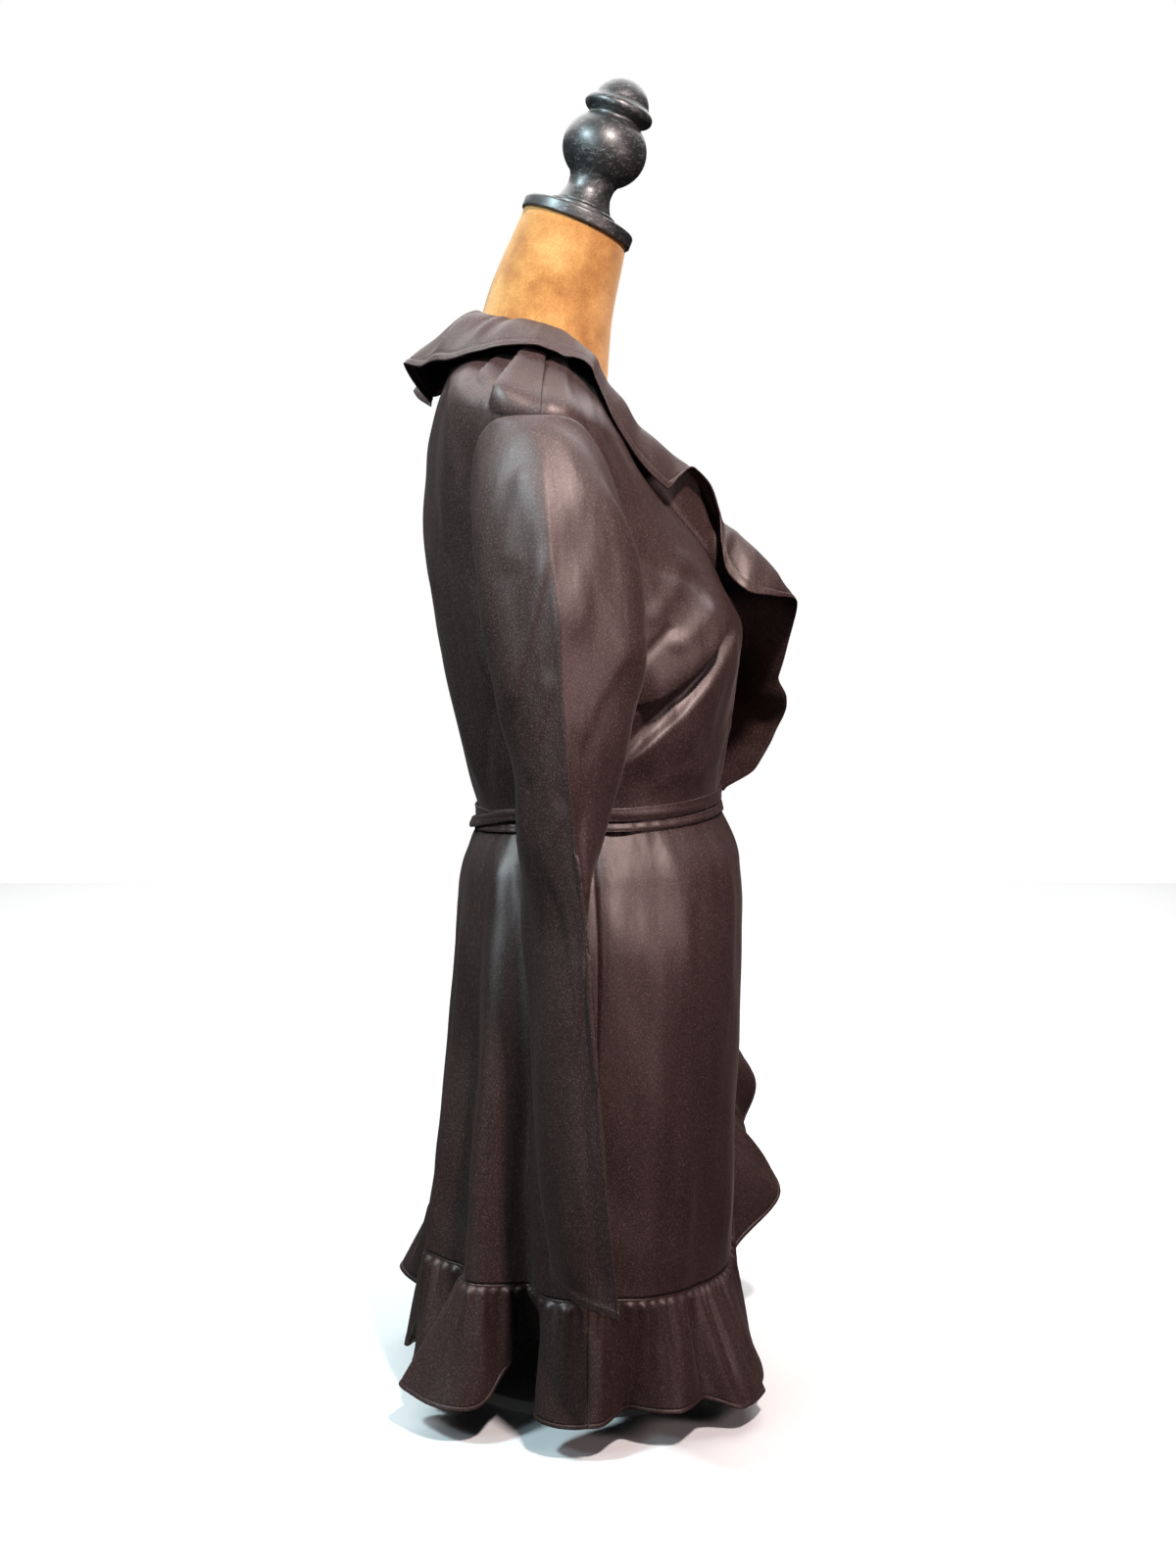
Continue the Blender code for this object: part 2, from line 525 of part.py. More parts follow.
def sleeve_section(section, turn):
    """Closed section through the crease, front, inner and back points."""
    heights = (section.z_out, 0.5 * (section.z_out + section.z_in), section.z_in)
    corners = np.array([
        (*section.crease, heights[0]), (*section.front, heights[1]),
        (*section.inner, heights[2]), (*section.back, heights[1]),
    ])
    after = np.roll(corners, -1, axis=0)
    tangents = 0.5 * SLEEVE_ROUNDNESS * (after - np.roll(corners, 1, axis=0))
    leave = tangents.copy()
    arrive = tangents.copy()
    leave[0] += section.sharp * (corners[1] - corners[0] - tangents[0])
    arrive[0] += section.sharp * (corners[0] - corners[3] - tangents[0])
    quarter = np.minimum((turn * 4.0).astype(int), 3)
    s = (turn * 4.0 - quarter)[:, None]
    nxt = (quarter + 1) % 4
    return ((2 * s ** 3 - 3 * s ** 2 + 1) * corners[quarter]
            + (s ** 3 - 2 * s ** 2 + s) * leave[quarter]
            + (3 * s ** 2 - 2 * s ** 3) * corners[nxt]
            + (s ** 3 - s ** 2) * arrive[nxt])


def sleeve_grid(rows_between, columns):
    """Right sleeve: loops from the armhole to the wrist, joined by smooth curves."""
    turn = np.arange(columns) / columns
    loops = [armhole_loop(turn, 0.0005), armhole_loop(turn, ARMHOLE_RISE)]
    loops += [sleeve_section(section, turn) for section in SLEEVE_SECTIONS]
    places = np.concatenate([[0.0, 0.3], np.arange(1, len(SLEEVE_SECTIONS) + 1)])
    lower = np.linspace(2.0, len(SLEEVE_SECTIONS), rows_between)
    at = np.concatenate([[0.0, 0.3, 0.6, 1.0, 1.5], lower])
    flat = np.array(loops).reshape(len(loops), -1)
    smooth = np.stack([spline(places, row, at) for row in flat.T], axis=1)
    return smooth.reshape(len(at), columns, 3)


def make_sleeves(material):
    """Two hanging sleeves, walls inward, open at the armhole and at the wrist."""
    right = sleeve_grid(11, 2 * ARMHOLE_STEPS)
    grid_object("sleeve_right", right, material, WALL, closed=True)
    grid_object("sleeve_left", mirror(right), material, WALL, closed=True)


def path_frame(path):
    """Unit direction along a path of points."""
    along = np.gradient(path, axis=0)
    return along / np.linalg.norm(along, axis=1, keepdims=True)


def subdivide(path, extra, spacing):
    """Cut each straight stretch of a path into even parts, with other rows carried along."""
    length = np.linalg.norm(np.diff(path, axis=0), axis=1)
    parts = np.maximum(np.round(length / spacing).astype(int), 1)
    at = np.concatenate([i + np.arange(n) / n for i, n in enumerate(parts)] + [[len(parts)]])
    place = np.arange(len(path))
    points = np.stack([np.interp(at, place, row) for row in path.T], axis=1)
    carried = np.stack([np.interp(at, place, row) for row in extra.T], axis=1)
    return points, carried


HEM_RUFFLE_ROWS = np.array([0.0, 0.05, 0.36, 1.0])[:, None, None]
NECK_RUFFLE_ROWS = np.array([0.0, 0.05, 0.28, 0.62, 1.0])[:, None, None]
FLAT_SHARE = 0.05              # the first share of a ruffle lies flat along its seam


def gather_wave(count):
    """Gathers, a column out and the next one level with the seam, with uneven strength."""
    place = np.arange(count)
    return (0.75 + 0.25 * np.sin(1.05 * place + 0.7)) * (1.0 + np.cos(pi * place))


def ruffle_grid(seam, normal, down, hem, swell_out, strength):
    """Ruffle from a seam: first along the cloth, then gathered, then out to its waving hem."""
    v = np.maximum(HEM_RUFFLE_ROWS - FLAT_SHARE, 0.0) / (1.0 - FLAT_SHARE)
    top = seam + down * RUFFLE_GAP
    flat = down[None] * np.minimum(HEM_RUFFLE_ROWS / FLAT_SHARE, 1.0) * 0.0035
    fall = 0.35 * ease(v) + 0.65 * v
    gather = GATHER_DEPTH * gather_wave(len(seam))[:, None] * strength
    fade = ease(v / 0.12) * (1.0 - 0.8 * ease((v - 0.1) / 0.6))
    bulge = swell_out * np.sin(pi * v)
    return top[None] + flat + (hem - top)[None] * fall + normal[None] * (gather[None] * fade + bulge)


def seam_frame(seam, inside):
    """Outward normal and downward direction along a panel's edge, from the row inside it."""
    down = seam - inside
    down = down / np.linalg.norm(down, axis=1, keepdims=True)
    normal = np.cross(down, path_frame(seam))
    normal = normal / np.linalg.norm(normal, axis=1, keepdims=True)
    down = np.cross(path_frame(seam), normal)
    return normal, down / np.linalg.norm(down, axis=1, keepdims=True)


def hem_line(seam, normal, angle):
    """Waving hem below a skirt panel's bottom edge."""
    place = np.mod(angle, 360.0)
    wave_angles = [wave.angle for wave in HEM_WAVES]
    hem = seam + normal * column(HEM_WAVES, "out", place, wave_angles)[:, None]
    hem[:, 2] = column(HEM_WAVES, "z", place, wave_angles)
    return hem


def edge_line(seam, level):
    """Waving hem beside the over front's free edge."""
    levels = [wave.level for wave in EDGE_WAVES]
    reach = [column(EDGE_WAVES, part, level, levels) for part in ("right", "forward", "up")]
    return seam + np.stack([reach[0], -reach[1], reach[2]], axis=1)


def hem_ruffle(name, panel, material):
    """Ruffle along a skirt panel's lower edge; the over front's goes on up its free edge."""
    grid, angles, levels = skirt_grid(panel)
    path = np.concatenate([grid, angles[..., None], levels[..., None]], axis=-1)
    seam = path[-1]
    inside = path[-2].copy()
    if panel == "right":
        inside[-1] = path[-2, -2]
        seam = np.concatenate([seam, path[-2:2:-1, -1]])
        inside = np.concatenate([inside, path[-2:2:-1, -2]])
    normal, down = seam_frame(seam[:, :3], inside[:, :3])
    extra = np.concatenate([normal, down, seam[:, 3:]], axis=1)
    seam, carried = subdivide(seam[:, :3], extra, 0.5 * GATHER_PITCH)
    normal, down, angle, level = carried[:, 0:3], carried[:, 3:6], carried[:, 6], carried[:, 7]
    gathered = 1.0 + 0.0 * angle
    swell_out = 0.0 * angle
    hem = hem_line(seam, normal, angle)
    if panel == "left":
        gathered = ease((angle - UNDER_EDGE_AT_HEM - 12.0) / 20.0)
    if panel == "right":
        hem = hem_line(seam, normal, np.minimum(angle, SKIRT_EDGE_AT_HEM))
        turned_up = ease((angle - SKIRT_EDGE_AT_HEM) / 24.0)[:, None]
        hem = hem + (edge_line(seam, level) - hem) * turned_up
        swell_out = EDGE_SWELL * ease((level - 0.3) / 1.5)
    points = ruffle_grid(seam, normal, down, hem, swell_out[:, None], gathered[:, None])
    grid_object(name, points[:, ::-1], material, RUFFLE_WALL)


def make_hem_ruffles(material):
    """Three ruffles, as the skirt has three panels."""
    for panel in SKIRT_COLUMNS:
        hem_ruffle("hem_ruffle_" + panel, panel, material)


def neck_path(outward):
    """Right half of the neckline, just as the panels' own rows and columns cut it."""
    back_angle = np.linspace(0.0, 180.0, BACK_COLUMNS)
    back_angle = back_angle[back_angle > 89.9]
    level = bodice_levels()[::-1][:-2]
    angle = np.concatenate([back_angle, neckline_angle(level)])
    place = np.concatenate([(back_angle - 90.0) / 93.0, 1.0 + (NECK - level) / (NECK - WAIST)])
    level = np.concatenate([np.full_like(back_angle, NECK), level])
    return dress_points(angle, level, outward(angle, level)), angle, level, place


def neck_ruffle_grid(end, outward, spacing):
    """Right neck ruffle: up off the neckline, then over to its waving hem."""
    edge, angle, level, place = neck_path(outward)
    normal = surface_normals(dress_base, angle, level)
    away = np.cross(path_frame(edge), normal)
    away = away / np.linalg.norm(away, axis=1, keepdims=True)
    side = np.sign((away * (edge.mean(axis=0) - edge)).sum(axis=1).mean())
    seam = edge + away * side * (NECK_GAP + 0.5 * RUFFLE_WALL)
    seam[0, 0] = -0.7 * SEAM
    keep = place <= end
    extra = np.concatenate([normal, place[:, None]], axis=1)[keep]
    seam, carried = subdivide(seam[keep], extra, spacing)
    normal, place = carried[:, 0:3], carried[:, 3]
    places = [wave.place for wave in NECK_WAVES]
    reach = [column(NECK_WAVES, part, place, places) for part in ("out", "back", "up")]
    offset = np.stack([-reach[0], reach[1], reach[2]], axis=1)
    bulge = column(NECK_WAVES, "swell", place, places)[:, None]
    v = NECK_RUFFLE_ROWS
    rise = 0.5 * WALL + NECK_RISE * ease(v / 0.05) + bulge[None] * np.sin(pi * v ** 0.8)
    return seam[None] + normal[None] * rise + offset[None] * np.maximum(v - 0.04, 0.0) / 0.96


def make_neck_ruffles(material):
    """Two neck ruffles that meet at the centre back."""
    right = neck_ruffle_grid(2.0, over_front_offset, 0.0100)
    grid_object("neck_ruffle_right", right[:, ::-1], material, RUFFLE_WALL, 0.0)
    left = neck_ruffle_grid(LEFT_NECK_END, no_offset, 0.0100)
    grid_object("neck_ruffle_left", mirror(left[:, ::-1]), material, RUFFLE_WALL, 0.0)


def belt_rest(angle):
    """How far the belt's inner face stands off the body: it lies on the layers under it."""
    angle = np.mod(angle, 360.0)
    over = over_front_offset(angle + 7.0, np.full_like(angle, WAIST))
    end = 1.0 - ease((angle - SKIRT_EDGE_AT_WAIST - 3.0) / 14.0)
    return WALL + over * end + BELT_CLEARANCE


def belt_band(name, low, high, extra, material, angle, closed=True):
    """Flat band round the waist between two heights, following the body under it."""
    waist = dress_points(angle, np.full_like(angle, WAIST), 0.0)
    rows = []
    for share in (0.0, 0.5, 1.0):
        height = low + (high - low) * share
        level = WAIST + np.where(height > 0.0, height / 0.066, height / 0.049)
        crown = BELT_CROWN * (1.0 - abs(2.0 * share - 1.0))
        row = dress_points(angle, level + 0.0 * angle, belt_rest(angle) + extra + crown)
        row[:, 2] = waist[:, 2] + height
        rows.append(row)
    grid_object(name, np.array(rows), material, BELT_WALL, closed=closed)


def make_belt(material):
    """Tie belt: two wraps, a crossing strand at the back, a knot and two ends on the left."""
    around = np.linspace(0.0, 360.0, 31)[:-1]
    belt_band("belt_upper_wrap", UPPER_WRAP.low, UPPER_WRAP.high, 0.0, material, around)
    belt_band("belt_lower_wrap", LOWER_WRAP.low, LOWER_WRAP.high, 0.0, material, around)
    across = np.linspace(14.0, 172.0, 13)
    low = -0.014 + 0.016 * ease((across - 60.0) / 110.0)
    lift = BELT_WALL + BELT_CROWN + BELT_CLEARANCE
    belt_band("belt_back_strand", low, low + 0.008, lift, material, across, False)
    make_knot(material, belt_rest(np.array([KNOT_ANGLE]))[0])


def make_knot(material, clear):
    """Half-bow knot on the wearer's left and the two ends that hang from it."""
    angle = np.array([KNOT_ANGLE])
    centre = dress_points(angle, np.array([WAIST]), clear + BELT_WALL + BELT_CROWN + 0.0088)[0]
    mesh = bpy.data.meshes.new("belt_knot")
    body = bmesh.new()
    bmesh.ops.create_uvsphere(body, u_segments=12, v_segments=6, radius=1.0)
    for vert in body.verts:
        x, y, z = vert.co
        ridge = 1.0 + 0.10 * np.sin(3.0 * (z * 2.0 + y))
        vert.co = (centre[0] + 0.0088 * x * ridge, centre[1] + 0.0125 * y * ridge,
                   centre[2] + 0.0110 * z)
    body.to_mesh(mesh)
    body.free()
    knot = bpy.data.objects.new("belt_knot", mesh)
    mesh.materials.append(material)
    mesh.shade_smooth()
    PARTS.objects.link(knot)
    for name, lean, length, drop in (
        ("belt_end_front", -0.020, 0.175, 0.0106), ("belt_end_back", 0.018, 0.150, 0.0117),
    ):
        v = np.linspace(0.0, 1.0, 7)[:, None]
        u = np.linspace(-0.5, 0.5, 3)[None, :]
        fall = v * length
        z = centre[2] - drop - fall + 0.0 * u
        base_x = spline((0.0, 0.25, 0.6, 1.0), (0.0, 0.020, 0.036, 0.040), v) + 0.0 * u
        x = centre[0] + 0.001 + base_x + 0.002 * np.sin(6.0 * v + 4.0 * u)
        y = centre[1] + np.sign(lean) * 0.0062 + lean * v + u * (0.010 + 0.006 * ease(v / 0.3))
        points = np.stack([x, y, z], axis=-1)
        grid_object(name, points[::-1], material, BELT_WALL)


def make_form(material):
    """Torso with its neck, closed by a flat foot and a flat neck top."""
    level = np.concatenate([
        [0.0, 1.0, 2.0, 3.0, 4.0, 5.0], bodice_levels()[2:], [13.0, 14.0],
    ])[:, None]
    angle = np.linspace(0.0, 360.0, 29)[None, :-1]
    points = form_points(angle, level)
    points[0, :, 2] = FORM_FOOT
    top = points[-1]
    axis = np.array(Matrix.Rotation(FINIAL_LEAN, 3, "X").col[2])
    foot = np.array(FINIAL_FOOT) - axis * SEAM
    top[:, 2] = foot[2] - ((top[:, :2] - foot[:2]) @ axis[:2]) / axis[2]
    grid_object("form_torso", points, material, closed=True, cap_rows=(0, len(points) - 1))


def turned(name, profile, material, segments):
    """Turned piece: a profile of radius and height, run round with Screw, top to bottom."""
    mesh = bpy.data.meshes.new(name)
    verts = [(radius, 0.0, height) for radius, height in profile]
    mesh.from_pydata(verts, [(i, i + 1) for i in range(len(verts) - 1)], [])
    thing = bpy.data.objects.new(name, mesh)
    thing.data.materials.append(material)
    PARTS.objects.link(thing)
    screw = thing.modifiers.new("turn", "SCREW")
    screw.steps = segments
    screw.render_steps = segments
    screw.use_merge_vertices = True
    screw.merge_threshold = 0.00005
    screw.use_smooth_shade = True
    return thing


def arc(centre, radius_across, radius_along, start, end, count):
    """Points of an elliptic arc in the profile's plane, angles from the widest point upward."""
    angles = np.radians(np.linspace(start, end, count))
    return [(centre[0] + radius_across * np.cos(a), centre[1] + radius_along * np.sin(a)) for a in angles]


def make_finial(material):
    """Neck cap with a step, and the finial: foot, stem, bulb, ring and dome."""
    lean = Matrix.Rotation(FINIAL_LEAN, 4, "X")
    cap = turned("neck_cap", [
        (0.0, 0.0175), (0.0270, 0.0175), (0.0285, 0.0165), (0.0290, 0.0110),
        (0.0450, 0.0105), (0.0468, 0.0090), (0.0468, 0.0014), (0.0455, 0.0), (0.0, 0.0),
    ], material, 22)
    bulb = arc((0.0, 0.0675), 0.0340, 0.0305, 60, -52, 8)
    ring = arc((0.0205, 0.1005), 0.0080, 0.0062, 70, -70, 5)
    dome = arc((0.0, 0.1030), 0.0235, 0.0250, 90, 14, 5)
    dome[0] = (0.0, dome[0][1])
    stem = [(0.0190, 0.0380), (0.0186, 0.0320), (0.0205, 0.0250), (0.0240, 0.0178)]
    finial = turned("finial", dome + ring + bulb + stem + [(0.0, 0.0178)], material, 18)
    for thing in (cap, finial):
        thing.matrix_world = Matrix.Translation(FINIAL_FOOT) @ lean


def make_stand(material):
    """Round base plate, and the pole that stands on it and reaches the form's foot."""
    bpy.ops.mesh.primitive_cylinder_add(vertices=32, radius=BASE_RADIUS, depth=BASE_THICKNESS)
    base = bpy.context.object
    base.name = "stand_base"
    base.location = (0.0, 0.0, 0.5 * BASE_THICKNESS)
    bottom = BASE_THICKNESS + SEAM
    top = FORM_FOOT - SEAM
    bpy.ops.mesh.primitive_cylinder_add(vertices=16, radius=POLE_RADIUS, depth=top - bottom)
    pole = bpy.context.object
    pole.name = "stand_pole"
    pole.location = (0.0, 0.0, 0.5 * (top + bottom))
    for thing in (base, pole):
        thing.data.materials.append(material)
        for owner in list(thing.users_collection):
            owner.objects.unlink(thing)
        PARTS.objects.link(thing)


clear_scene()
PARTS = bpy.data.collections.new("wrap dress on a dress form")
bpy.context.scene.collection.children.link(PARTS)
satin = make_material(BLACK_SATIN)
suede = make_material(CAMEL_SUEDE)
wood = make_material(BLACK_WOOD)
steel = make_material(PAINTED_STEEL)

make_form(suede)
make_finial(wood)
make_stand(steel)
make_bodice_back(satin)
make_bodice_fronts(satin)
make_skirt(satin)
make_sleeves(satin)
make_hem_ruffles(satin)
make_neck_ruffles(satin)
make_belt(satin)
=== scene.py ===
"""Wrap dress in black satin on its small suede-covered form, every piece as a fine surface.

Metres, +Z up, in the CAD's own frame: the dress faces -Y and the wearer's right side is -X.
Angles go round the body: 0 is the wearer's left side, 90 the back, 180 the right side and 270 the
front.  The level t counts the rows of the ring tables: 0 at the hem seam, 5 at the waist, 8 at the
armpit, 10 at the shoulder tip and 12 at the neck.
"""
from collections import namedtuple
from math import pi, radians

import bpy
import numpy as np
from mathutils import Matrix, Vector


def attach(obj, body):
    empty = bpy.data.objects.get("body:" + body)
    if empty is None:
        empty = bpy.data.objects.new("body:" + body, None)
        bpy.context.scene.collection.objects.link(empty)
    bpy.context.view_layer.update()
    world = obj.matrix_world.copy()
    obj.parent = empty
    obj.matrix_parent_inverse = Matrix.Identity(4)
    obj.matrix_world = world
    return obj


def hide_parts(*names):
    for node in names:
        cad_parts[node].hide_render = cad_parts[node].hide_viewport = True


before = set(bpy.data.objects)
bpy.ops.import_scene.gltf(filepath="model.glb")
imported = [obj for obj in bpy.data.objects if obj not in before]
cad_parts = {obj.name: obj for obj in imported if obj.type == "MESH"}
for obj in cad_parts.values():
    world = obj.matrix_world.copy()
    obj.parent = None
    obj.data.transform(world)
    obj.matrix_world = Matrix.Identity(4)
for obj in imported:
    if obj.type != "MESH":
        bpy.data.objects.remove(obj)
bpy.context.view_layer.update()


def table(kind, *rows):
    """Rows of numbers as named tuples."""
    return tuple(kind(*row) for row in rows)


# Cloth and seams
WALL = 0.0015                  # thickness of a cloth panel
RUFFLE_WALL = 0.0012           # thickness of a ruffle
SEAM = 0.00035                 # gap left between two pieces at a seam
RUFFLE_GAP = 0.0004            # from a skirt panel's edge to its ruffle
LAYER = WALL + 0.0022          # how far the over front stands off the under front
UNDER_INSET = 0.0035           # how far the under skirt falls back beneath the over front
FORM_CLEARANCE = 0.0042        # from the form to the cloth's inner face
FORM_HOLLOW = 0.0018           # and more where the under front's edge crosses the ribs
DART_HOLLOW = 0.0040           # and behind the deep fold under the right bust
NECK_EASE = 0.0016             # and round the base of the neck
SHOULDER_CLEARANCE = 0.0012    # and where the dress rests on the shoulders
SIDE_GROOVE = 0.0004           # and the form is this much lower along its side seams
SEAM_DIP = 0.0008              # how far cloth dips where it is sewn
SEAM_DIP_REACH = 0.0035        # and how far from the seam it does
BODY_RADIUS = 0.13             # turns angles round the body into metres of cloth, near enough
LEVEL_HEIGHT = 0.07            # and levels into metres

# Levels of the ring tables
WAIST, BUST, ARMPIT, ARMHOLE_MIDDLE, SHOULDER, NECK = 5.0, 7.0, 8.0, 9.0, 10.0, 12.0
WAIST_EDGE = 0.06              # level step of the short upright strip at the waist seam
BODICE_RUFFLE_END = 5.22       # level where the neck ruffle stops above the belt

# Stand and finial
BASE_RADIUS, BASE_THICKNESS, POLE_RADIUS, FORM_FOOT = 0.120, 0.010, 0.0125, 0.262
FINIAL_LEAN = radians(21.5)    # forward lean of the neck cap and the finial
FINIAL_FOOT = (0.0, 0.0105, 0.9500)
AXIS_RADIUS = 0.0004           # a turned profile starts and ends this close to its axis

Ring = namedtuple("Ring", "z_front z_side z_back half_width y_front y_side y_back square")
DRESS_RINGS = table(
    Ring,
    (0.106, 0.121, 0.127, 0.182, -0.115, 0.000, 0.131, 2.3),   # hem seam
    (0.200, 0.200, 0.200, 0.176, -0.118, -0.002, 0.1245, 2.3),  # low skirt
    (0.290, 0.290, 0.290, 0.170, -0.1205, -0.006, 0.1150, 2.3),  # mid skirt
    (0.372, 0.372, 0.372, 0.161, -0.1235, -0.008, 0.1095, 2.3),  # hip
    (0.435, 0.430, 0.428, 0.142, -0.1215, -0.006, 0.103, 2.25),  # high hip
    (0.487, 0.479, 0.472, 0.121, -0.1035, -0.004, 0.0925, 2.2),  # waist
    (0.548, 0.540, 0.552, 0.132, -0.1125, 0.002, 0.1085, 2.2),  # ribs
    (0.625, 0.595, 0.636, 0.147, -0.1185, 0.008, 0.1245, 2.25),  # bust
    (0.677, 0.640, 0.708, 0.153, -0.100, 0.018, 0.1315, 2.3),  # armpit
    (0.722, 0.710, 0.762, 0.164, -0.066, 0.029, 0.1285, 2.4),  # armhole middle
    (0.757, 0.781, 0.806, 0.186, -0.036, 0.034, 0.1185, 2.4),  # shoulder tip
    (0.790, 0.822, 0.845, 0.122, -0.021, 0.033, 0.107, 2.2),   # mid shoulder
    (0.818, 0.852, 0.871, 0.064, -0.0175, 0.031, 0.0925, 2.0),  # neck base
)
FORM_RINGS = table(
    Ring,
    (0.262, 0.262, 0.262, 0.140, -0.104, -0.006, 0.090, 2.2),  # flat foot
    (0.276, 0.276, 0.276, 0.150, -0.113, -0.006, 0.099, 2.2),  # rounded foot edge
    (0.320, 0.320, 0.320, 0.153, -0.118, -0.008, 0.103, 2.3),  # seat
    (0.372, 0.372, 0.372, 0.152, -0.119, -0.008, 0.101, 2.3),  # hip
    (0.435, 0.430, 0.428, 0.137, -0.115, -0.006, 0.096, 2.25),  # high hip
) + DRESS_RINGS[5:] + table(
    Ring,
    (0.868, 0.890, 0.909, 0.0515, -0.0200, 0.031, 0.0790, 2.0),  # neck
    (0.9315, 0.9485, 0.9655, 0.0445, -0.0315, 0.011, 0.0535, 2.0),  # neck top
)
BUST_ANGLE, BUST_SPREAD, BUST_HEIGHT = 33.0, 19.0, 0.008

# Long soft folds of the skirt: angle at the hem and at the top, depth outward, spread, top level
SkirtFold = namedtuple("SkirtFold", "hem_angle top_angle depth spread top")
SKIRT_FOLDS = table(
    SkirtFold,
    (157, 150, -0.0270, 8.0, 4.3),   # deep valley behind the right arm
    (143, 140, 0.0095, 5.0, 4.8),
    (129, 129, -0.0105, 5.0, 4.7),
    (114, 118, 0.0090, 5.0, 4.7),
    (99, 104, -0.0080, 5.0, 4.4),
    (78, 80, 0.0050, 7.0, 4.5),
    (60, 62, -0.0080, 7.0, 4.4),
    (42, 46, 0.0070, 7.0, 4.6),
    (24, 29, -0.0150, 8.0, 4.2),
    (5, 7, 0.0060, 7.0, 3.6),
    (175, 172, 0.0060, 6.0, 3.4),
    (197, 202, 0.0035, 8.0, 3.6),
    (226, 229, -0.0035, 9.0, 3.8),
    (322, 326, -0.0040, 9.0, 3.4),
    (343, 338, 0.0050, 8.0, 3.6),
)
# Small pleats that fan out below the waist seam, at the back only
WAIST_PLEATS = table(
    SkirtFold,
    (133, 126, -0.0030, 2.6, 5.3), (121, 119, 0.0026, 2.4, 5.3), (104, 108, -0.0024, 2.6, 5.2),
    (88, 92, 0.0020, 2.6, 5.2), (70, 72, -0.0022, 2.6, 5.2), (53, 56, 0.0022, 2.6, 5.2),
)

# Folds of the bodice: a line from one angle and level to another, its depth outward and its spread,
# and its lean, which makes one side steeper than the other
BodiceFold = namedtuple(
    "BodiceFold", "angle_from level_from angle_to level_to depth spread lean", defaults=(0.0,))
RIGHT_BODICE_FOLDS = table(
    BodiceFold,
    (206, 7.70, 238, 8.30, 0.0022, 0.16),
    (203, 8.75, 232, 8.00, -0.0022, 0.15),
    (212, 7.15, 236, 7.60, 0.0018, 0.12),
    (198, 7.05, 214, 7.50, -0.0020, 0.10),
    (226, 5.45, 262, 6.05, 0.0016, 0.14),
    (196, 5.25, 222, 5.60, 0.0014, 0.12),
)
# Folds that curve round the ribs: angles and levels of the line, depth, spread above and below it
CurvedFold = namedtuple("CurvedFold", "angles levels depth above below")
DART_FOLDS = table(
    CurvedFold,
    ((192, 204, 214, 224, 234, 242), (6.46, 6.55, 6.70, 6.93, 7.20, 7.36), 0.0085, 0.50, 0.05),
    ((188, 204, 218, 230, 242, 250), (5.84, 6.22, 6.53, 6.80, 7.04, 7.16), -0.0052, 0.16, 0.14),
    ((186, 200, 218, 230, 242, 252), (5.52, 5.86, 6.32, 6.64, 6.94, 7.06), 0.0060, 0.07, 0.42),
)
RIGHT_BACK_FOLDS = table(
    BodiceFold,
    (150, 5.2, 138, 8.2, 0.0035, 0.32),
    (118, 5.2, 112, 7.8, 0.0025, 0.30),
    (160, 10.15, 170, 11.45, 0.0090, 0.24, -0.78),  # cloth that stands behind the shoulder
    (147, 10.50, 155, 11.50, 0.0050, 0.16, -0.70),
    (136, 8.20, 128, 10.60, 0.0030, 0.30),
    (128, 5.4, 146, 6.4, -0.0016, 0.12),
)
BACK_BODICE_FOLDS = RIGHT_BACK_FOLDS + tuple(
    fold._replace(angle_from=180 - fold.angle_from, angle_to=180 - fold.angle_to, lean=-fold.lean)
    for fold in RIGHT_BACK_FOLDS
)
# Straight wrinkles on the whole dress: waves per metre round and up the body, and their height
Ripple = namedtuple("Ripple", "around up height phase")
RIPPLES = table(
    Ripple,
    (9.0, 2.0, 0.00100, 0.3), (17.0, -3.0, 0.00060, 1.9), (5.0, 9.0, 0.00060, 4.1),
    (31.0, 2.0, 0.00026, 2.2), (23.0, 14.0, 0.00022, 5.0), (47.0, -6.0, 0.00012, 0.9),
)

# Free edge of the over front's bodice, as the angle at each level from the waist to the neck
NECKLINE = {5: 335, 6: 311, 7: 275, 8: 261, 9: 255, 10: 252, 11: 238, 12: 195}
SKIRT_EDGE_AT_HEM, SKIRT_EDGE_AT_WAIST, SKIRT_EDGE_CURVE = 243.0, 335.0, 2.5
UNDER_EDGE_AT_HEM, UNDER_EDGE_AT_WAIST = 261.0, 205.0
EDGE_CORNER = 1.0              # level where the over front's lower edge becomes its free edge
SKIRT_COLUMNS = {"back": 230, "right": 120, "left": 90}

# Armhole: half its opening angle, and how square it is
ARMHOLE_HALF_ANGLE, ARMHOLE_SQUARE = 29.0, 3.0
NECK_GAP = 0.0007              # from the neckline to the ruffle that stands in it
ARMHOLE_RADIUS = 0.11          # turns angles round the armhole into metres, near enough
ARMHOLE_GAP = 0.0008           # the sleeve stands this far inside the armhole's edge
ARMHOLE_START = 0.0005         # from the body surface to the sleeve's first loop
ARMHOLE_RISE = 0.0055          # and it goes straight out this far before it turns down

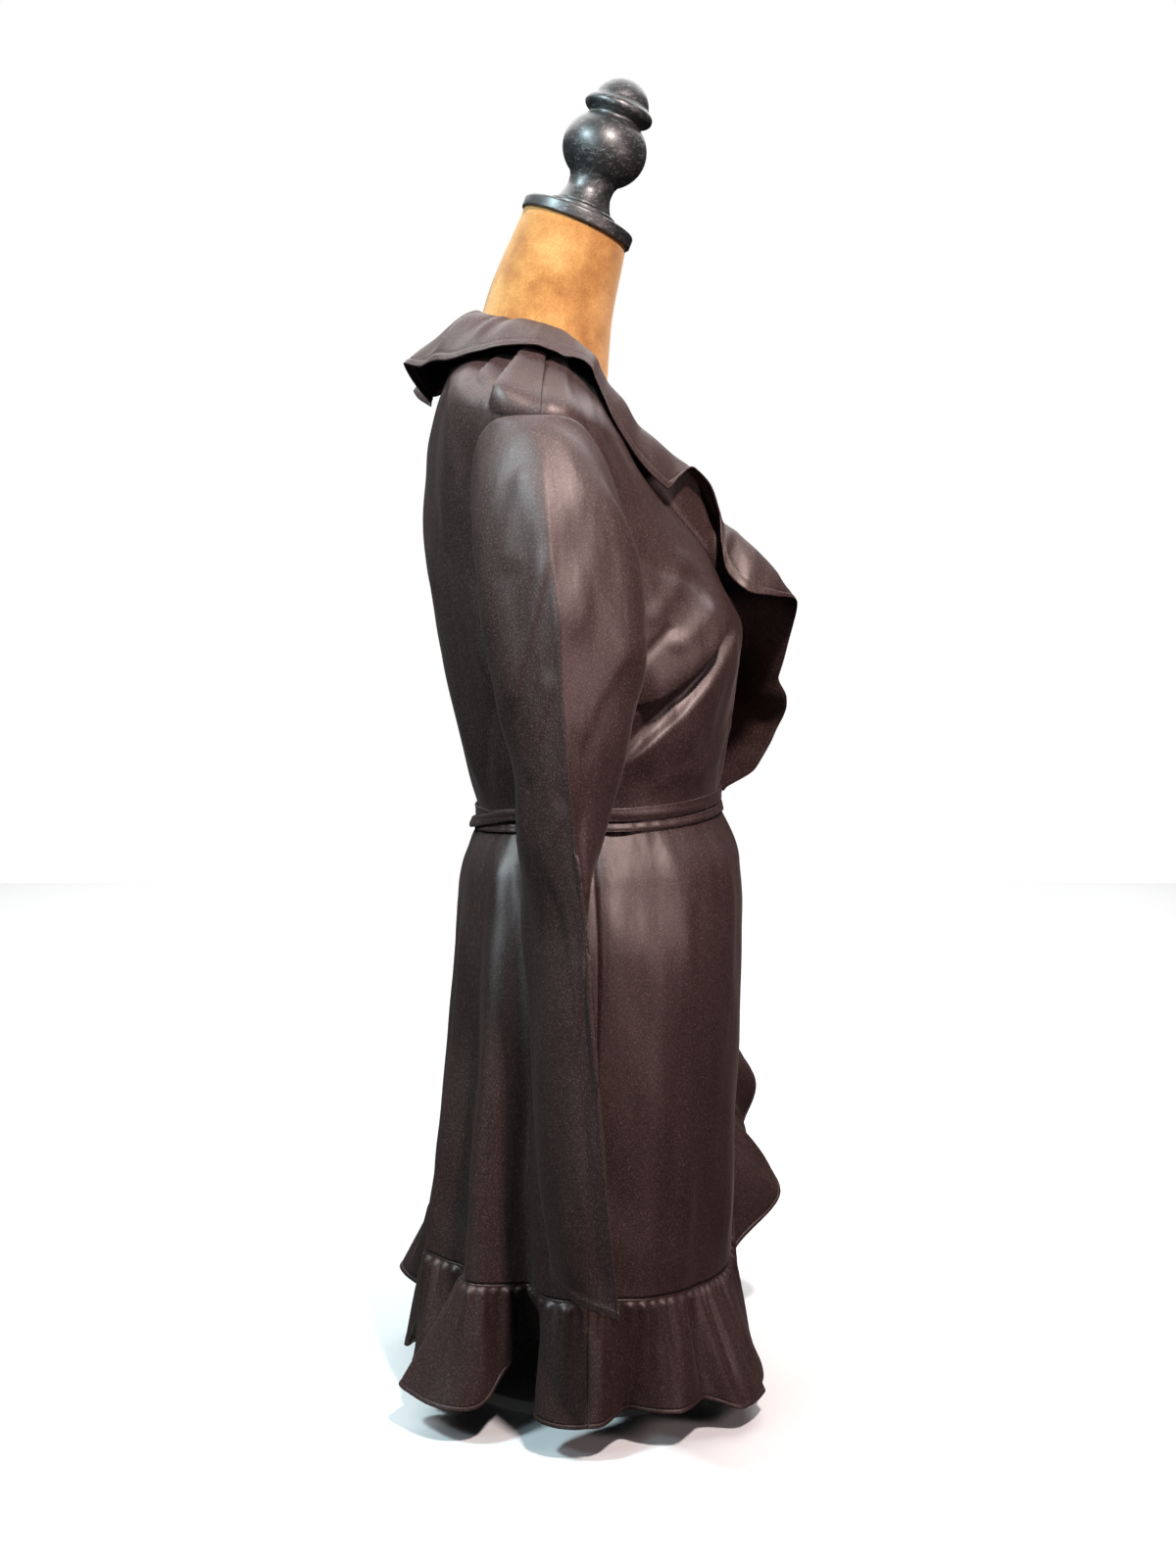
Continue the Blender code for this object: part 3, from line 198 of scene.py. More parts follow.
# Sections of the right sleeve, from the cap to the wrist: heights of the creased outer side and of
# the inner side, then the crease, the front, the inner and the back point of the section
Section = namedtuple("Section", "z_out z_in crease front inner back sharp")
SLEEVE_SECTIONS = table(
    Section,
    (0.772, 0.640, (-0.205, 0.035), (-0.184, -0.020), (-0.164, 0.020), (-0.184, 0.082), 0.0),
    (0.738, 0.634, (-0.228, 0.031), (-0.193, -0.034), (-0.166, 0.020), (-0.192, 0.084), 0.2),
    (0.690, 0.618, (-0.243, 0.027), (-0.199, -0.041), (-0.166, 0.016), (-0.197, 0.081), 0.5),
    (0.636, 0.590, (-0.251, 0.021), (-0.203, -0.043), (-0.164, 0.014), (-0.201, 0.0755), 0.7),
    (0.586, 0.560, (-0.253, 0.0185), (-0.205, -0.037), (-0.163, 0.014), (-0.203, 0.068), 0.8),
    (0.532, 0.520, (-0.252, 0.0145), (-0.204, -0.027), (-0.164, 0.017), (-0.205, 0.0565), 0.9),
    (0.474, 0.474, (-0.249, 0.0085), (-0.203, -0.012), (-0.168, 0.030), (-0.206, 0.052), 1.0),
    (0.400, 0.400, (-0.250, -0.001), (-0.205, 0.013), (-0.174, 0.046), (-0.217, 0.032), 1.0),
    (0.333, 0.333, (-0.254, -0.005), (-0.2075, 0.005), (-0.180, 0.0395), (-0.2245, 0.0285), 1.0),
    (0.220, 0.222, (-0.261, -0.0137), (-0.2150, -0.003), (-0.188, 0.034), (-0.2320, 0.023), 1.0),
    (0.134, 0.147, (-0.2655, -0.0226), (-0.2185, -0.011), (-0.193, 0.025), (-0.2350, 0.0135), 1.0),
)
SLEEVE_ROUNDNESS = 1.6         # swell of a section between its four points
SLEEVE_STEP = 0.086            # from the last section but one to the wrist
SLEEVE_HEM = 0.0085            # width of the turned band at the wrist
SLEEVE_HEM_STITCH = 0.0072     # from the wrist to its stitch line
SLEEVE_HEM_HEIGHT = 0.0004     # how far the band stands out, and its stitch line sinks
# Soft folds of the sleeve: a line from one turn and section to another, depth, spread and lean
SleeveFold = namedtuple("SleeveFold", "turn_from place_from turn_to place_to depth spread lean")
SLEEVE_FOLDS = table(
    SleeveFold,
    (0.985, 3.3, 0.86, 5.2, 0.0024, 0.20, 0.5), (0.975, 4.9, 0.87, 6.2, 0.0018, 0.18, 0.4),
    (0.11, 2.6, 0.03, 4.2, 0.0016, 0.22, 0.0), (0.17, 4.2, 0.04, 5.7, 0.0018, 0.24, 0.3),
    (0.97, 6.6, 0.86, 7.4, 0.0018, 0.20, 0.3), (0.975, 8.2, 0.88, 9.1, 0.0013, 0.16, 0.3),
    (0.96, 9.6, 0.86, 10.1, 0.0010, 0.14, 0.0), (0.04, 7.0, 0.16, 8.2, 0.0014, 0.22, -0.3),
    (0.95, 1.9, 0.90, 3.2, 0.0016, 0.26, 0.0), (0.06, 9.0, 0.14, 9.9, 0.0011, 0.18, 0.0),
)

# Hem ruffle, round the body: angle, how far the hem stands out of the seam, and the hem's height
HemWave = namedtuple("HemWave", "angle out z")
HEM_WAVES = table(
    HemWave,
    (0, 0.020, 0.034), (13, -0.006, 0.042), (27, 0.024, 0.030),
    (41, -0.008, 0.042), (55, 0.026, 0.036), (64, 0.004, 0.050),
    (74, 0.038, 0.062), (85, 0.002, 0.050), (97, 0.030, 0.030),
    (109, 0.000, 0.044), (120, 0.024, 0.034), (129, 0.008, 0.036),
    (135, 0.052, 0.037), (144, 0.020, 0.032), (150, 0.000, 0.054),
    (161, -0.028, 0.074), (170, 0.014, 0.032), (181, 0.018, 0.030),
    (193, -0.008, 0.034), (206, 0.022, 0.034), (218, 0.016, 0.033),
    (230, 0.040, 0.021),
    (240, 0.042, 0.022), (254, -0.010, 0.047), (272, -0.014, 0.048),
    (288, -0.010, 0.046), (308, 0.020, 0.036), (326, -0.006, 0.044),
    (343, 0.022, 0.034), (360, 0.020, 0.034),
)
# Ruffle on the over front's free edge: level, then the hem's place from the seam
EdgeWave = namedtuple("EdgeWave", "level right forward up")
EDGE_WAVES = table(
    EdgeWave,
    (0.12, 0.016, 0.010, -0.075), (0.42, 0.014, 0.006, -0.074),
    (0.85, 0.018, 0.056, -0.062), (1.25, 0.040, 0.028, -0.056),
    (1.70, 0.036, 0.046, -0.052), (1.95, 0.046, 0.030, -0.049),
    (2.20, 0.050, 0.005, -0.046),
    (2.80, 0.030, 0.006, -0.062), (3.40, 0.052, 0.012, -0.038),
    (4.00, 0.030, 0.000, -0.056), (4.60, 0.046, 0.004, -0.030),
    (4.93, 0.030, 0.002, -0.034),
)
# Neck ruffle, right half: place along the neckline (0 centre back, 1 shoulder seam, 2 waist), the
# hem's place from the neckline, and the middle's, both as out to the side, back and up
NeckWave = namedtuple("NeckWave", "place out back up mid_out mid_back mid_up")
NECK_WAVES = table(
    NeckWave,
    (0.00, 0.000, 0.033, -0.064, 0.000, 0.022, -0.026),
    (0.12, 0.010, 0.047, -0.050, 0.006, 0.024, -0.020),
    (0.24, 0.022, 0.057, -0.036, 0.013, 0.027, -0.014),
    (0.32, 0.028, 0.046, -0.040, 0.016, 0.022, -0.012),
    (0.42, 0.036, 0.041, -0.034, 0.020, 0.020, -0.003),
    (0.58, 0.046, 0.036, -0.030, 0.026, 0.017, -0.002),
    (0.76, 0.054, 0.020, -0.020, 0.028, 0.008, 0.002),
    (0.92, 0.057, 0.006, -0.018, 0.028, 0.003, 0.001),
    (1.00, 0.055, 0.006, -0.018, 0.028, 0.004, 0.001),
    (1.07, 0.049, 0.006, -0.001, 0.022, 0.003, 0.010),
    (1.14, 0.052, 0.007, 0.003, 0.026, 0.003, 0.014),
    (1.22, 0.048, 0.008, 0.005, 0.020, 0.000, 0.022),
    (1.29, 0.045, 0.003, 0.002, 0.016, -0.001, 0.025),
    (1.35, 0.042, -0.002, -0.002, 0.014, -0.005, 0.028),
    (1.39, 0.038, -0.003, -0.001, 0.008, -0.008, 0.028),
    (1.42, 0.024, -0.007, 0.018, -0.003, -0.012, 0.028),
    (1.45, 0.006, -0.012, 0.034, -0.014, -0.013, 0.025),
    (1.48, -0.004, -0.017, 0.031, -0.022, -0.015, 0.018),
    (1.515, -0.004, -0.015, 0.021, -0.024, -0.015, 0.014),
    (1.55, 0.010, -0.008, 0.008, -0.012, -0.014, 0.022),
    (1.585, 0.030, -0.004, -0.002, 0.010, -0.015, 0.027),
    (1.62, 0.047, -0.013, -0.009, 0.020, -0.023, 0.023),
    (1.65, 0.044, -0.028, -0.002, 0.021, -0.031, 0.016),
    (1.69, 0.027, -0.044, 0.009, 0.018, -0.029, 0.014),
    (1.73, 0.015, -0.042, 0.002, 0.012, -0.027, 0.000),
    (1.77, 0.019, -0.040, -0.008, 0.014, -0.026, -0.009),
    (1.80, 0.026, -0.055, -0.008, 0.020, -0.034, -0.008),
    (1.84, 0.028, -0.067, -0.007, 0.016, -0.041, -0.006),
    (1.88, 0.037, -0.070, -0.007, 0.018, -0.043, -0.005),
    (1.92, 0.044, -0.070, -0.009, 0.020, -0.043, -0.003),
    (1.96, 0.034, -0.058, -0.010, 0.014, -0.034, -0.002),
)
NECK_SEAM = 1.1 * SEAM         # from the centre back to each neck ruffle
NECK_GATHER = 0.0005           # height of the small gathers at the neckline
NECK_RISE = 0.0038             # how far a neck ruffle stands up before it turns over
NECK_STAND = 0.0100            # and further up round the back of the neck
LEFT_NECK_DROP = 0.010         # the left half's hem hangs this much lower behind the shoulder
NECK_PLEAT = 0.0026            # height of the slanting pleats round the back of the neck ruffle
EDGE_SWELL = 0.009             # how far the middle of the free edge's ruffle swells up
LEFT_NECK_END = 1.62           # the left half stops where the over front covers it
RUFFLE_STEP = 0.0016           # spacing of a ruffle's columns along its seam
GATHER_PITCH = 0.0100          # length of seam in one gather, near enough
GATHER_DEPTH = 0.0052          # how far a gather stands out near the seam
FLUTE_PITCH, FLUTE_DEPTH = 0.031, 0.0026  # of the wider waves in the middle of a hem ruffle
FLAT_SHARE, FLAT_WIDTH = 0.03, 0.0022  # the first share of a ruffle lies flat along its seam
HEM_FOLD, HEM_FOLD_HEIGHT = 0.0045, 0.00035  # narrow stitched hems
PUCKERS_ROUND, PUCKER_HEIGHT = 47.0, 0.0007  # small gathers in the waist seam
TURNED_STRAIGHT = 7.0          # degrees from a side seam where a hem ruffle stands straight out
SEWN_FLAT, FLAT_GATHERS = 4.0, 0.15  # and where its gathers are this share of their full height

# Tie belt: each wrap's lower and upper edge from the waist seam
Wrap = namedtuple("Wrap", "low high")
UPPER_WRAP = Wrap(-0.0018, 0.0087)
LOWER_WRAP = Wrap(-0.0097, -0.0037)
BELT_WALL = 0.0014
BELT_CROWN = 0.0007            # the middle of the tie stands out this far
BELT_CLEARANCE = 0.0012        # from the cloth, and between strands
CINCH = 0.0038                 # how far the belt pulls the waist in at the back
KNOT_ANGLE = 352.0
KNOT_HALF_SIZE = (0.0088, 0.0125, 0.0110)
KNOT_SEAT = 0.0098             # from the tie's crown to the middle of the knot
LEVEL_ABOVE_WAIST, LEVEL_BELOW_WAIST = 0.066, 0.049  # height of one level beside the waist seam


def hermite(s, start, leave, end, arrive):
    """Cubic curve from start to end at share s of the way, with its two tangents."""
    return ((2 * s ** 3 - 3 * s ** 2 + 1) * start + (s ** 3 - 2 * s ** 2 + s) * leave
            + (3 * s ** 2 - 2 * s ** 3) * end + (s ** 3 - s ** 2) * arrive)


def spline(places, values, at):
    """Smooth curve through values at rising places, level at each peak, read at `at`.

    Cubic Hermite pieces whose tangents are the harmonic mean of the slopes on the two sides.
    """
    x = np.asarray(places, float)
    y = np.asarray(values, float)
    at = np.clip(np.asarray(at, float), x[0], x[-1])
    step = np.diff(x)
    slope = np.diff(y) / step
    tangent = np.empty_like(y)
    tangent[0] = slope[0]
    tangent[-1] = slope[-1]
    before = slope[:-1]
    after = slope[1:]
    same_way = before * after > 0.0
    total = np.where(same_way, before + after, 1.0)
    tangent[1:-1] = np.where(same_way, 2.0 * before * after / total, 0.0)
    i = np.clip(np.searchsorted(x, at, side="right") - 1, 0, len(x) - 2)
    share = (at - x[i]) / step[i]
    return hermite(share, y[i], step[i] * tangent[i], y[i + 1], step[i] * tangent[i + 1])


def column(rows, name, at, places=None):
    """One named column of a table, smoothed between its rows."""
    if places is None:
        places = range(len(rows))
    return spline(places, [getattr(row, name) for row in rows], at)


def ease(x):
    """0 below 0, 1 above 1, smooth between."""
    x = np.clip(x, 0.0, 1.0)
    return x * x * (3.0 - 2.0 * x)


def swell(distance, spread):
    """Bell curve of a soft fold across its line."""
    return np.exp(-(distance / spread) ** 2)


def unit(vectors):
    """Vectors scaled to length one."""
    return vectors / np.maximum(np.linalg.norm(vectors, axis=-1, keepdims=True), 1e-12)


def ring_points(rings, angle, level):
    """Body surface: two half superellipses that meet at the sides, with tilted rings."""
    a = np.radians(angle)
    c = np.cos(a)
    s = np.sin(a)
    power = 2.0 / column(rings, "square", level)
    y_side = column(rings, "y_side", level)
    z_side = column(rings, "z_side", level)
    front = s < 0.0
    y_end = np.where(front, column(rings, "y_front", level), column(rings, "y_back", level))
    z_end = np.where(front, column(rings, "z_front", level), column(rings, "z_back", level))
    x = column(rings, "half_width", level) * np.sign(c) * np.abs(c) ** power
    y = y_side + (y_end - y_side) * np.abs(s) ** power
    z = z_side + (z_end - z_side) * s * s
    return np.stack(np.broadcast_arrays(x, y, z), axis=-1)


def surface_normals(surface, angle, level):
    """Unit normals of a surface, outward, from small steps along both parameters."""
    d_angle = 0.5
    d_level = 0.01
    low = np.maximum(level - d_level, 0.0)
    across = surface(angle + d_angle, level) - surface(angle - d_angle, level)
    along = surface(angle, level + d_level) - surface(angle, low)
    return unit(np.cross(across, along))


def bust_swell(angle, level):
    """Height of the two bust mounds over the ring surface."""
    from_front = angle - 270.0
    mounds = swell(from_front + BUST_ANGLE, BUST_SPREAD) + swell(from_front - BUST_ANGLE, BUST_SPREAD)
    return BUST_HEIGHT * mounds * swell(level - BUST, 0.75)


def skirt_fold_depth(folds, angle, level):
    """Sum of the skirt's long folds, which fade out towards their top levels."""
    depth = np.zeros(np.broadcast(angle, level).shape)
    for fold in folds:
        share = np.clip(level / fold.top, 0.0, 1.0)
        centre = fold.hem_angle + (fold.top_angle - fold.hem_angle) * share
        away = (angle - centre + 180.0) % 360.0 - 180.0
        depth = depth + fold.depth * swell(away, fold.spread) * (1.0 - share) ** 0.8
    return depth


def waist_pucker(angle, level):
    """Small gathers and pleats just below the waist seam: sines round the body that die away."""
    below = np.maximum(WAIST - level, 0.0)
    wave = np.sin(radians(1.0) * angle * PUCKERS_ROUND + 1.7 * np.sin(0.13 * angle))
    fine = PUCKER_HEIGHT * wave * np.exp(-below / 0.22)
    pleats = skirt_fold_depth(WAIST_PLEATS, angle, level) * np.exp(-below / 1.1)
    return (fine + pleats) * ease(below / 0.12)


def line_folds(folds, across, along):
    """Sum of straight folds, each a bell curve across its line and eased off at both ends."""
    depth = np.zeros(np.broadcast(across, along).shape)
    for start_across, start_along, end_across, end_along, height, spread, lean in folds:
        run = np.array([end_across - start_across, end_along - start_along])
        dx = across - start_across
        dy = along - start_along
        share = (dx * run[0] + dy * run[1]) / (run @ run)
        away = (dx * run[1] - dy * run[0]) / np.sqrt(run @ run)
        ends = ease(share / 0.25 + 0.5) * ease((1.0 - share) / 0.25 + 0.5)
        depth = depth + height * swell(away, spread * (1.0 - lean * np.sign(away))) * ends
    return depth


def curved_fold_depth(angle, level):
    """Dart and deep fold under the right bust: bell curves above and below their curved lines."""
    depth = 0.0 * (angle + level)
    for fold in DART_FOLDS:
        above = level - spline(fold.angles, fold.levels, angle)
        ends = ease((angle - fold.angles[0]) / 14.0) * ease((fold.angles[-1] - angle) / 14.0)
        depth = depth + fold.depth * ends * swell(above, np.where(above > 0.0, fold.above, fold.below))
    return depth


def bodice_fold_depth(folds, angle, level):
    """Folds of the bodice, drawn in levels: 30 degrees of turn count as one level."""
    scaled = [f._replace(angle_from=f.angle_from / 30.0, angle_to=f.angle_to / 30.0) for f in folds]
    return line_folds(scaled, angle / 30.0, level)


def ripples(around, up):
    """Faint uneven waves of hanging satin: slanted sines over metres round and up the cloth."""
    height = 0.0 * (around + up)
    for wave in RIPPLES:
        bend = 0.8 * np.sin(7.0 * up + 3.0 * around + wave.phase)
        height = height + wave.height * np.sin(2.0 * pi * (wave.around * around + wave.up * up) + bend)
    return height


def waist_cinch(angle, level):
    """How far the tied belt pulls the cloth in at the waist, most at the back."""
    return CINCH * (0.6 + 0.4 * np.sin(np.radians(angle))) * swell(level - WAIST, 0.28)


def dress_base(angle, level):
    """Ring surface without bust or folds."""
    return ring_points(DRESS_RINGS, angle, level)


def dress_points(angle, level, outward, folds=()):
    """Points on the dress, moved outward by a layer offset, the folds and the fine ripples."""
    angle, level = np.broadcast_arrays(np.asarray(angle, float), np.asarray(level, float))
    lift = outward + bust_swell(angle, level) - waist_cinch(angle, level)
    skirt = skirt_fold_depth(SKIRT_FOLDS, angle, level) + waist_pucker(angle, level)
    lift = lift + np.where(level < WAIST, skirt, 0.0)
    lift = lift + bodice_fold_depth(folds, angle, level) * ease((level - WAIST - 0.15) / 0.6)
    if folds is RIGHT_BODICE_FOLDS:
        lift = lift + curved_fold_depth(angle, level)
    calm = ease((level - 0.05) / 0.5) * ease(np.abs(level - WAIST) / 0.5)
    lift = lift + ripples(np.radians(angle) * BODY_RADIUS, level * LEVEL_HEIGHT) * calm
    return dress_base(angle, level) + surface_normals(dress_base, angle, level) * lift[..., None]


def form_points(angle, level):
    """Points on the form: the dress surface less a clearance that is larger behind deep folds."""
    def base(a, t):
        return ring_points(FORM_RINGS, a, t)

    angle, level = np.broadcast_arrays(np.asarray(angle, float), np.asarray(level, float))
    resting = ease((level - SHOULDER - 0.3) / 0.7)
    clearance = FORM_CLEARANCE + (SHOULDER_CLEARANCE - FORM_CLEARANCE) * resting
    under_bust = swell(level - 5.9, 0.6) * swell(angle - 242.0, 34.0)
    from_fold = level - spline(DART_FOLDS[1].angles, DART_FOLDS[1].levels, angle)
    behind_fold = swell(from_fold, 0.35) * swell(angle - 220.0, 30.0)
    clearance = clearance + NECK_EASE * swell(level - 11.3, 0.9)
    clearance = clearance + FORM_HOLLOW * under_bust + DART_HOLLOW * behind_fold
    clearance = clearance + SIDE_GROOVE * (swell(angle - 180.0, 0.9) + swell(angle, 0.9))
    lift = 0.7 * bust_swell(angle, level) - waist_cinch(angle, level) - clearance
    return base(angle, level) + surface_normals(base, angle, level) * lift[..., None]


def grid_normals(points, closed=False):
    """Unit normals of a grid of points, from differences along its rows and columns."""
    if closed:
        wide = np.concatenate([points[:, -1:], points, points[:, :1]], axis=1)
        across = wide[:, 2:] - wide[:, :-2]
    else:
        across = np.gradient(points, axis=1)
    along = np.gradient(points, axis=0)
    return unit(np.cross(across, along))


def grid_quads(index):
    """A quad for each four neighbours in a grid of vertex numbers."""
    return np.stack([index[:-1, :-1], index[:-1, 1:], index[1:, 1:], index[1:, :-1]], axis=-1).reshape(-1, 4)


def set_cloth_uv(mesh, points, corner):
    """UV map in metres along the grid's rows and columns, for the point at each face corner."""
    across = np.linalg.norm(np.diff(points, axis=1, prepend=points[:, :1]), axis=-1).cumsum(axis=1)
    along = np.linalg.norm(np.diff(points, axis=0, prepend=points[:1]), axis=-1).cumsum(axis=0)
    metres = np.stack([across, along], axis=-1).reshape(-1, 2)
    mesh.uv_layers.new(name="cloth").data.foreach_set("uv", metres[corner].ravel())


def grid_mesh(name, points, closed=False, ends=()):
    """Mesh of a grid of points (rows, columns, xyz): vertex r * columns + c is row r, column c."""
    rows, columns = points.shape[:2]
    index = np.arange(rows * columns).reshape(rows, columns)
    faces = grid_quads(np.concatenate([index, index[:, :1]], axis=1) if closed else index).tolist()
    for row in ends:
        faces.append((index[row] if row else index[row][::-1]).tolist())
    mesh = bpy.data.meshes.new(name)
    mesh.from_pydata(points.reshape(-1, 3).tolist(), [], faces)
    corner = np.empty(len(mesh.loops), dtype=np.int32)
    mesh.loops.foreach_get("vertex_index", corner)
    set_cloth_uv(mesh, points, corner)
    mesh.shade_smooth()
    return mesh


def walled_mesh(name, points, normals, wall):
    """Closed cloth panel: a grid, the same grid moved out by the wall, and a rim between the two.

    The shading follows the given normals, so that narrow quads round an armhole don't show.
    """
    rows, columns = points.shape[:2]
    count = rows * columns
    index = np.arange(count).reshape(rows, columns)
    outer = grid_quads(index)
    border = np.concatenate([index[0, :-1], index[:-1, -1], index[-1, :0:-1], index[:0:-1, 0]])
    ahead = np.roll(border, -1)
    rim = np.stack([ahead, border, border + count, ahead + count], axis=-1)
    quads = np.concatenate([outer, outer[:, ::-1] + count, rim])
    mesh = bpy.data.meshes.new(name)
    grid = np.concatenate([(points + normals * wall).reshape(-1, 3), points.reshape(-1, 3)])
    mesh.from_pydata(grid.tolist(), [], quads.tolist())
    corner = quads.ravel()
    set_cloth_uv(mesh, points, corner % count)
    smooth = np.arange(len(quads)) < 2 * len(outer)
    mesh.polygons.foreach_set("use_smooth", smooth)
    facing = np.concatenate([normals.reshape(-1, 3), -normals.reshape(-1, 3)])[corner]
    mesh.normals_split_custom_set((facing * np.repeat(smooth, 4)[:, None]).tolist())
    return mesh


def add_object(name, data):
    """New object in the scene."""
    made = bpy.data.objects.new(name, data)
    bpy.context.scene.collection.objects.link(made)
    return made


def add_piece(mesh, finish, node, wall=0.0, offset=1.0):
    """Put a mesh in the scene in place of its CAD node, with a cloth wall where one is given."""
    piece = add_object(mesh.name, mesh)
    mesh.materials.append(finish.material)
    if wall:
        solid = piece.modifiers.new("cloth wall", "SOLIDIFY")
        solid.thickness = wall
        solid.offset = offset
    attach(piece, "root")
    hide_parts(node)


def armhole_opening(level):
    """Half angle of the armhole at a level, 0 below the armpit and above the shoulder tip."""
    inside = 1.0 - np.abs(np.clip(level - ARMHOLE_MIDDLE, -1.0, 1.0)) ** ARMHOLE_SQUARE
    return ARMHOLE_HALF_ANGLE * np.clip(inside, 0.0, 1.0) ** (1.0 / ARMHOLE_SQUARE)


def side_seam(level):
    """Side seam: a straight cut at 180 degrees, measured as the sine power law needs."""
    power = 2.0 / column(DRESS_RINGS, "square", level)
    depth = column(DRESS_RINGS, "y_back", level) - column(DRESS_RINGS, "y_side", level)
    return np.degrees(np.arcsin((0.5 * SEAM / depth) ** (1.0 / power)))


def neckline_angle(level):
    """Angle of the over front's free edge in the bodice."""
    return spline(list(NECKLINE), list(NECKLINE.values()), level)


def skirt_edge_angle(level):
    """Angle of the over front's free edge in the skirt, curving round into the hem."""
    share = np.clip(level / WAIST, 0.0, 1.0) ** (1.0 / SKIRT_EDGE_CURVE)
    return SKIRT_EDGE_AT_HEM + (SKIRT_EDGE_AT_WAIST - SKIRT_EDGE_AT_HEM) * share


def over_bottom(angle):
    """Level of the over front's lower edge at each angle, the same curve the other way."""
    share = (angle - SKIRT_EDGE_AT_HEM) / (SKIRT_EDGE_AT_WAIST - SKIRT_EDGE_AT_HEM)
    return WAIST * np.clip(share, 0.0, 1.0) ** SKIRT_EDGE_CURVE


def under_edge_angle(level):
    """Angle of the under front's free edge, all the way down the dress."""
    share = np.clip(level / WAIST, 0.0, 1.0)
    in_skirt = UNDER_EDGE_AT_HEM + (UNDER_EDGE_AT_WAIST - UNDER_EDGE_AT_HEM) * share
    return np.where(level < WAIST, in_skirt, 540.0 - neckline_angle(level))


def over_front_offset(angle, level):
    """The over front is level with the back at its side seam, and rises onto the under front."""
    return LAYER * ease((angle - under_edge_angle(level) + 22.0) / 16.0)


def no_offset(angle, level):
    """The back and the bodice's under front lie on the body surface itself."""
    return 0.0 * angle + 0.0 * level


def under_skirt_offset(angle, level):
    """The skirt's under front falls back where the over front hangs in front of it."""
    covered = ease((skirt_edge_angle(level) + 12.0 - angle) / 20.0)
    return -UNDER_INSET * covered * ease((WAIST - level) / 1.6)


def bodice_levels():
    """Levels of the bodice's rows, closer together round the armhole's ends."""
    waist = [WAIST, WAIST + 0.5 * WAIST_EDGE, WAIST + WAIST_EDGE]
    belt = np.linspace(WAIST + 0.12, BODICE_RUFFLE_END, 3)
    low = np.linspace(5.26, ARMPIT, 104)
    armhole = ARMHOLE_MIDDLE - 0.65 * np.cos(np.linspace(0.0, pi, 57)) + np.linspace(-0.35, 0.35, 57)
    high = np.linspace(SHOULDER, NECK, 34)
    return np.concatenate([waist, belt, low, armhole[1:], high[1:]])


SKIRT_ROWS = np.concatenate([[0.985, 0.972], 0.96 * np.linspace(1.0, 0.0, 92) ** 1.15])[:, None]


def waist_gap(points, up):
    """Move a panel's waist edge off the seam line by half the gap."""
    points = points.copy()
    points[0, :, 2] += 0.6 * SEAM * up
    return points


def mirror(points):
    """The same piece for the other side of the body, still facing outward."""
    flipped = points[:, ::-1].copy()
    flipped[..., 0] *= -1.0
    return flipped


def seam_dip(angle, seam_angle):
    """Cloth dips where it is sewn: a narrow bell curve beside the seam."""
    return -SEAM_DIP * swell(np.radians(angle - seam_angle) * BODY_RADIUS, SEAM_DIP_REACH)


def make_bodice_back(finish):
    """Back bodice, from side seam to side seam and up to the back neck."""
    level = bodice_levels()[:, None]
    side = armhole_opening(level) + side_seam(level)
    share = np.linspace(0.0, 1.0, 141)[None, :]
    angle = side + (180.0 - 2.0 * side) * share
    dip = seam_dip(angle, side) + seam_dip(angle, 180.0 - side)

    def surface(a, t):
        return dress_points(a, np.minimum(t, NECK), dip, BACK_BODICE_FOLDS)

    points = waist_gap(surface(angle, level), 1.0)
    mesh = walled_mesh("back_bodice", points, surface_normals(surface, angle, level), WALL)
    add_piece(mesh, finish, "bodice_back")


def front_bodice_grid(outward, folds, columns):
    """Grid of a front on the wearer's right, from the side seam to the neckline, and its normals."""
    level = bodice_levels()[:, None]
    start = 180.0 + armhole_opening(level) + side_seam(level)
    share = np.linspace(0.0, 1.0, columns)[None, :]
    angle = start + (neckline_angle(level) - start) * share
    dip = seam_dip(angle, start)

    def surface(a, t):
        return dress_points(a, np.minimum(t, NECK), outward(a, t) + dip, folds)

    return waist_gap(surface(angle, level), 1.0), surface_normals(surface, angle, level)


def make_bodice_fronts(finish):
    """Over front on the wearer's right and under front on the left."""
    over = front_bodice_grid(over_front_offset, RIGHT_BODICE_FOLDS, 170)
    add_piece(walled_mesh("right_front_bodice", *over, WALL), finish, "bodice_front_right")
    under = map(mirror, front_bodice_grid(no_offset, (), 120))
    add_piece(walled_mesh("left_front_bodice", *under, WALL), finish, "bodice_front_left")


def skirt_grid(panel):
    """Grid of a skirt panel from the waist down, and the angle and level of each point."""
    share = np.linspace(0.0, 1.0, SKIRT_COLUMNS[panel])[None, :]
    corner = skirt_edge_angle(EDGE_CORNER)
    top = WAIST - WAIST_EDGE
    bottom = over_bottom(180.0 + (corner - 180.0) * share) if panel == "right" else 0.0 * share
    level = np.concatenate([
        np.full_like(share, WAIST), np.full_like(share, top), bottom + (top - bottom) * SKIRT_ROWS,
    ])
    if panel == "back":
        outward = no_offset
        start = side_seam(level[:, :1])
        end = 180.0 - side_seam(level[:, -1:])
        seams = (start, end)
    elif panel == "right":
        outward = over_front_offset
        start = 180.0 + side_seam(level[:, :1])
        end = skirt_edge_angle(level[:, -1:])
        seams = (start,)
    else:
        outward = under_skirt_offset
        start = under_edge_angle(level[:, :1])
        end = 360.0 - side_seam(level[:, -1:])
        seams = (end,)
    angle = start + (end - start) * share
    dip = sum(seam_dip(angle, seam) for seam in seams)
    points = dress_points(angle, level, outward(angle, level) + dip)
    return waist_gap(points, -1.0), angle, level


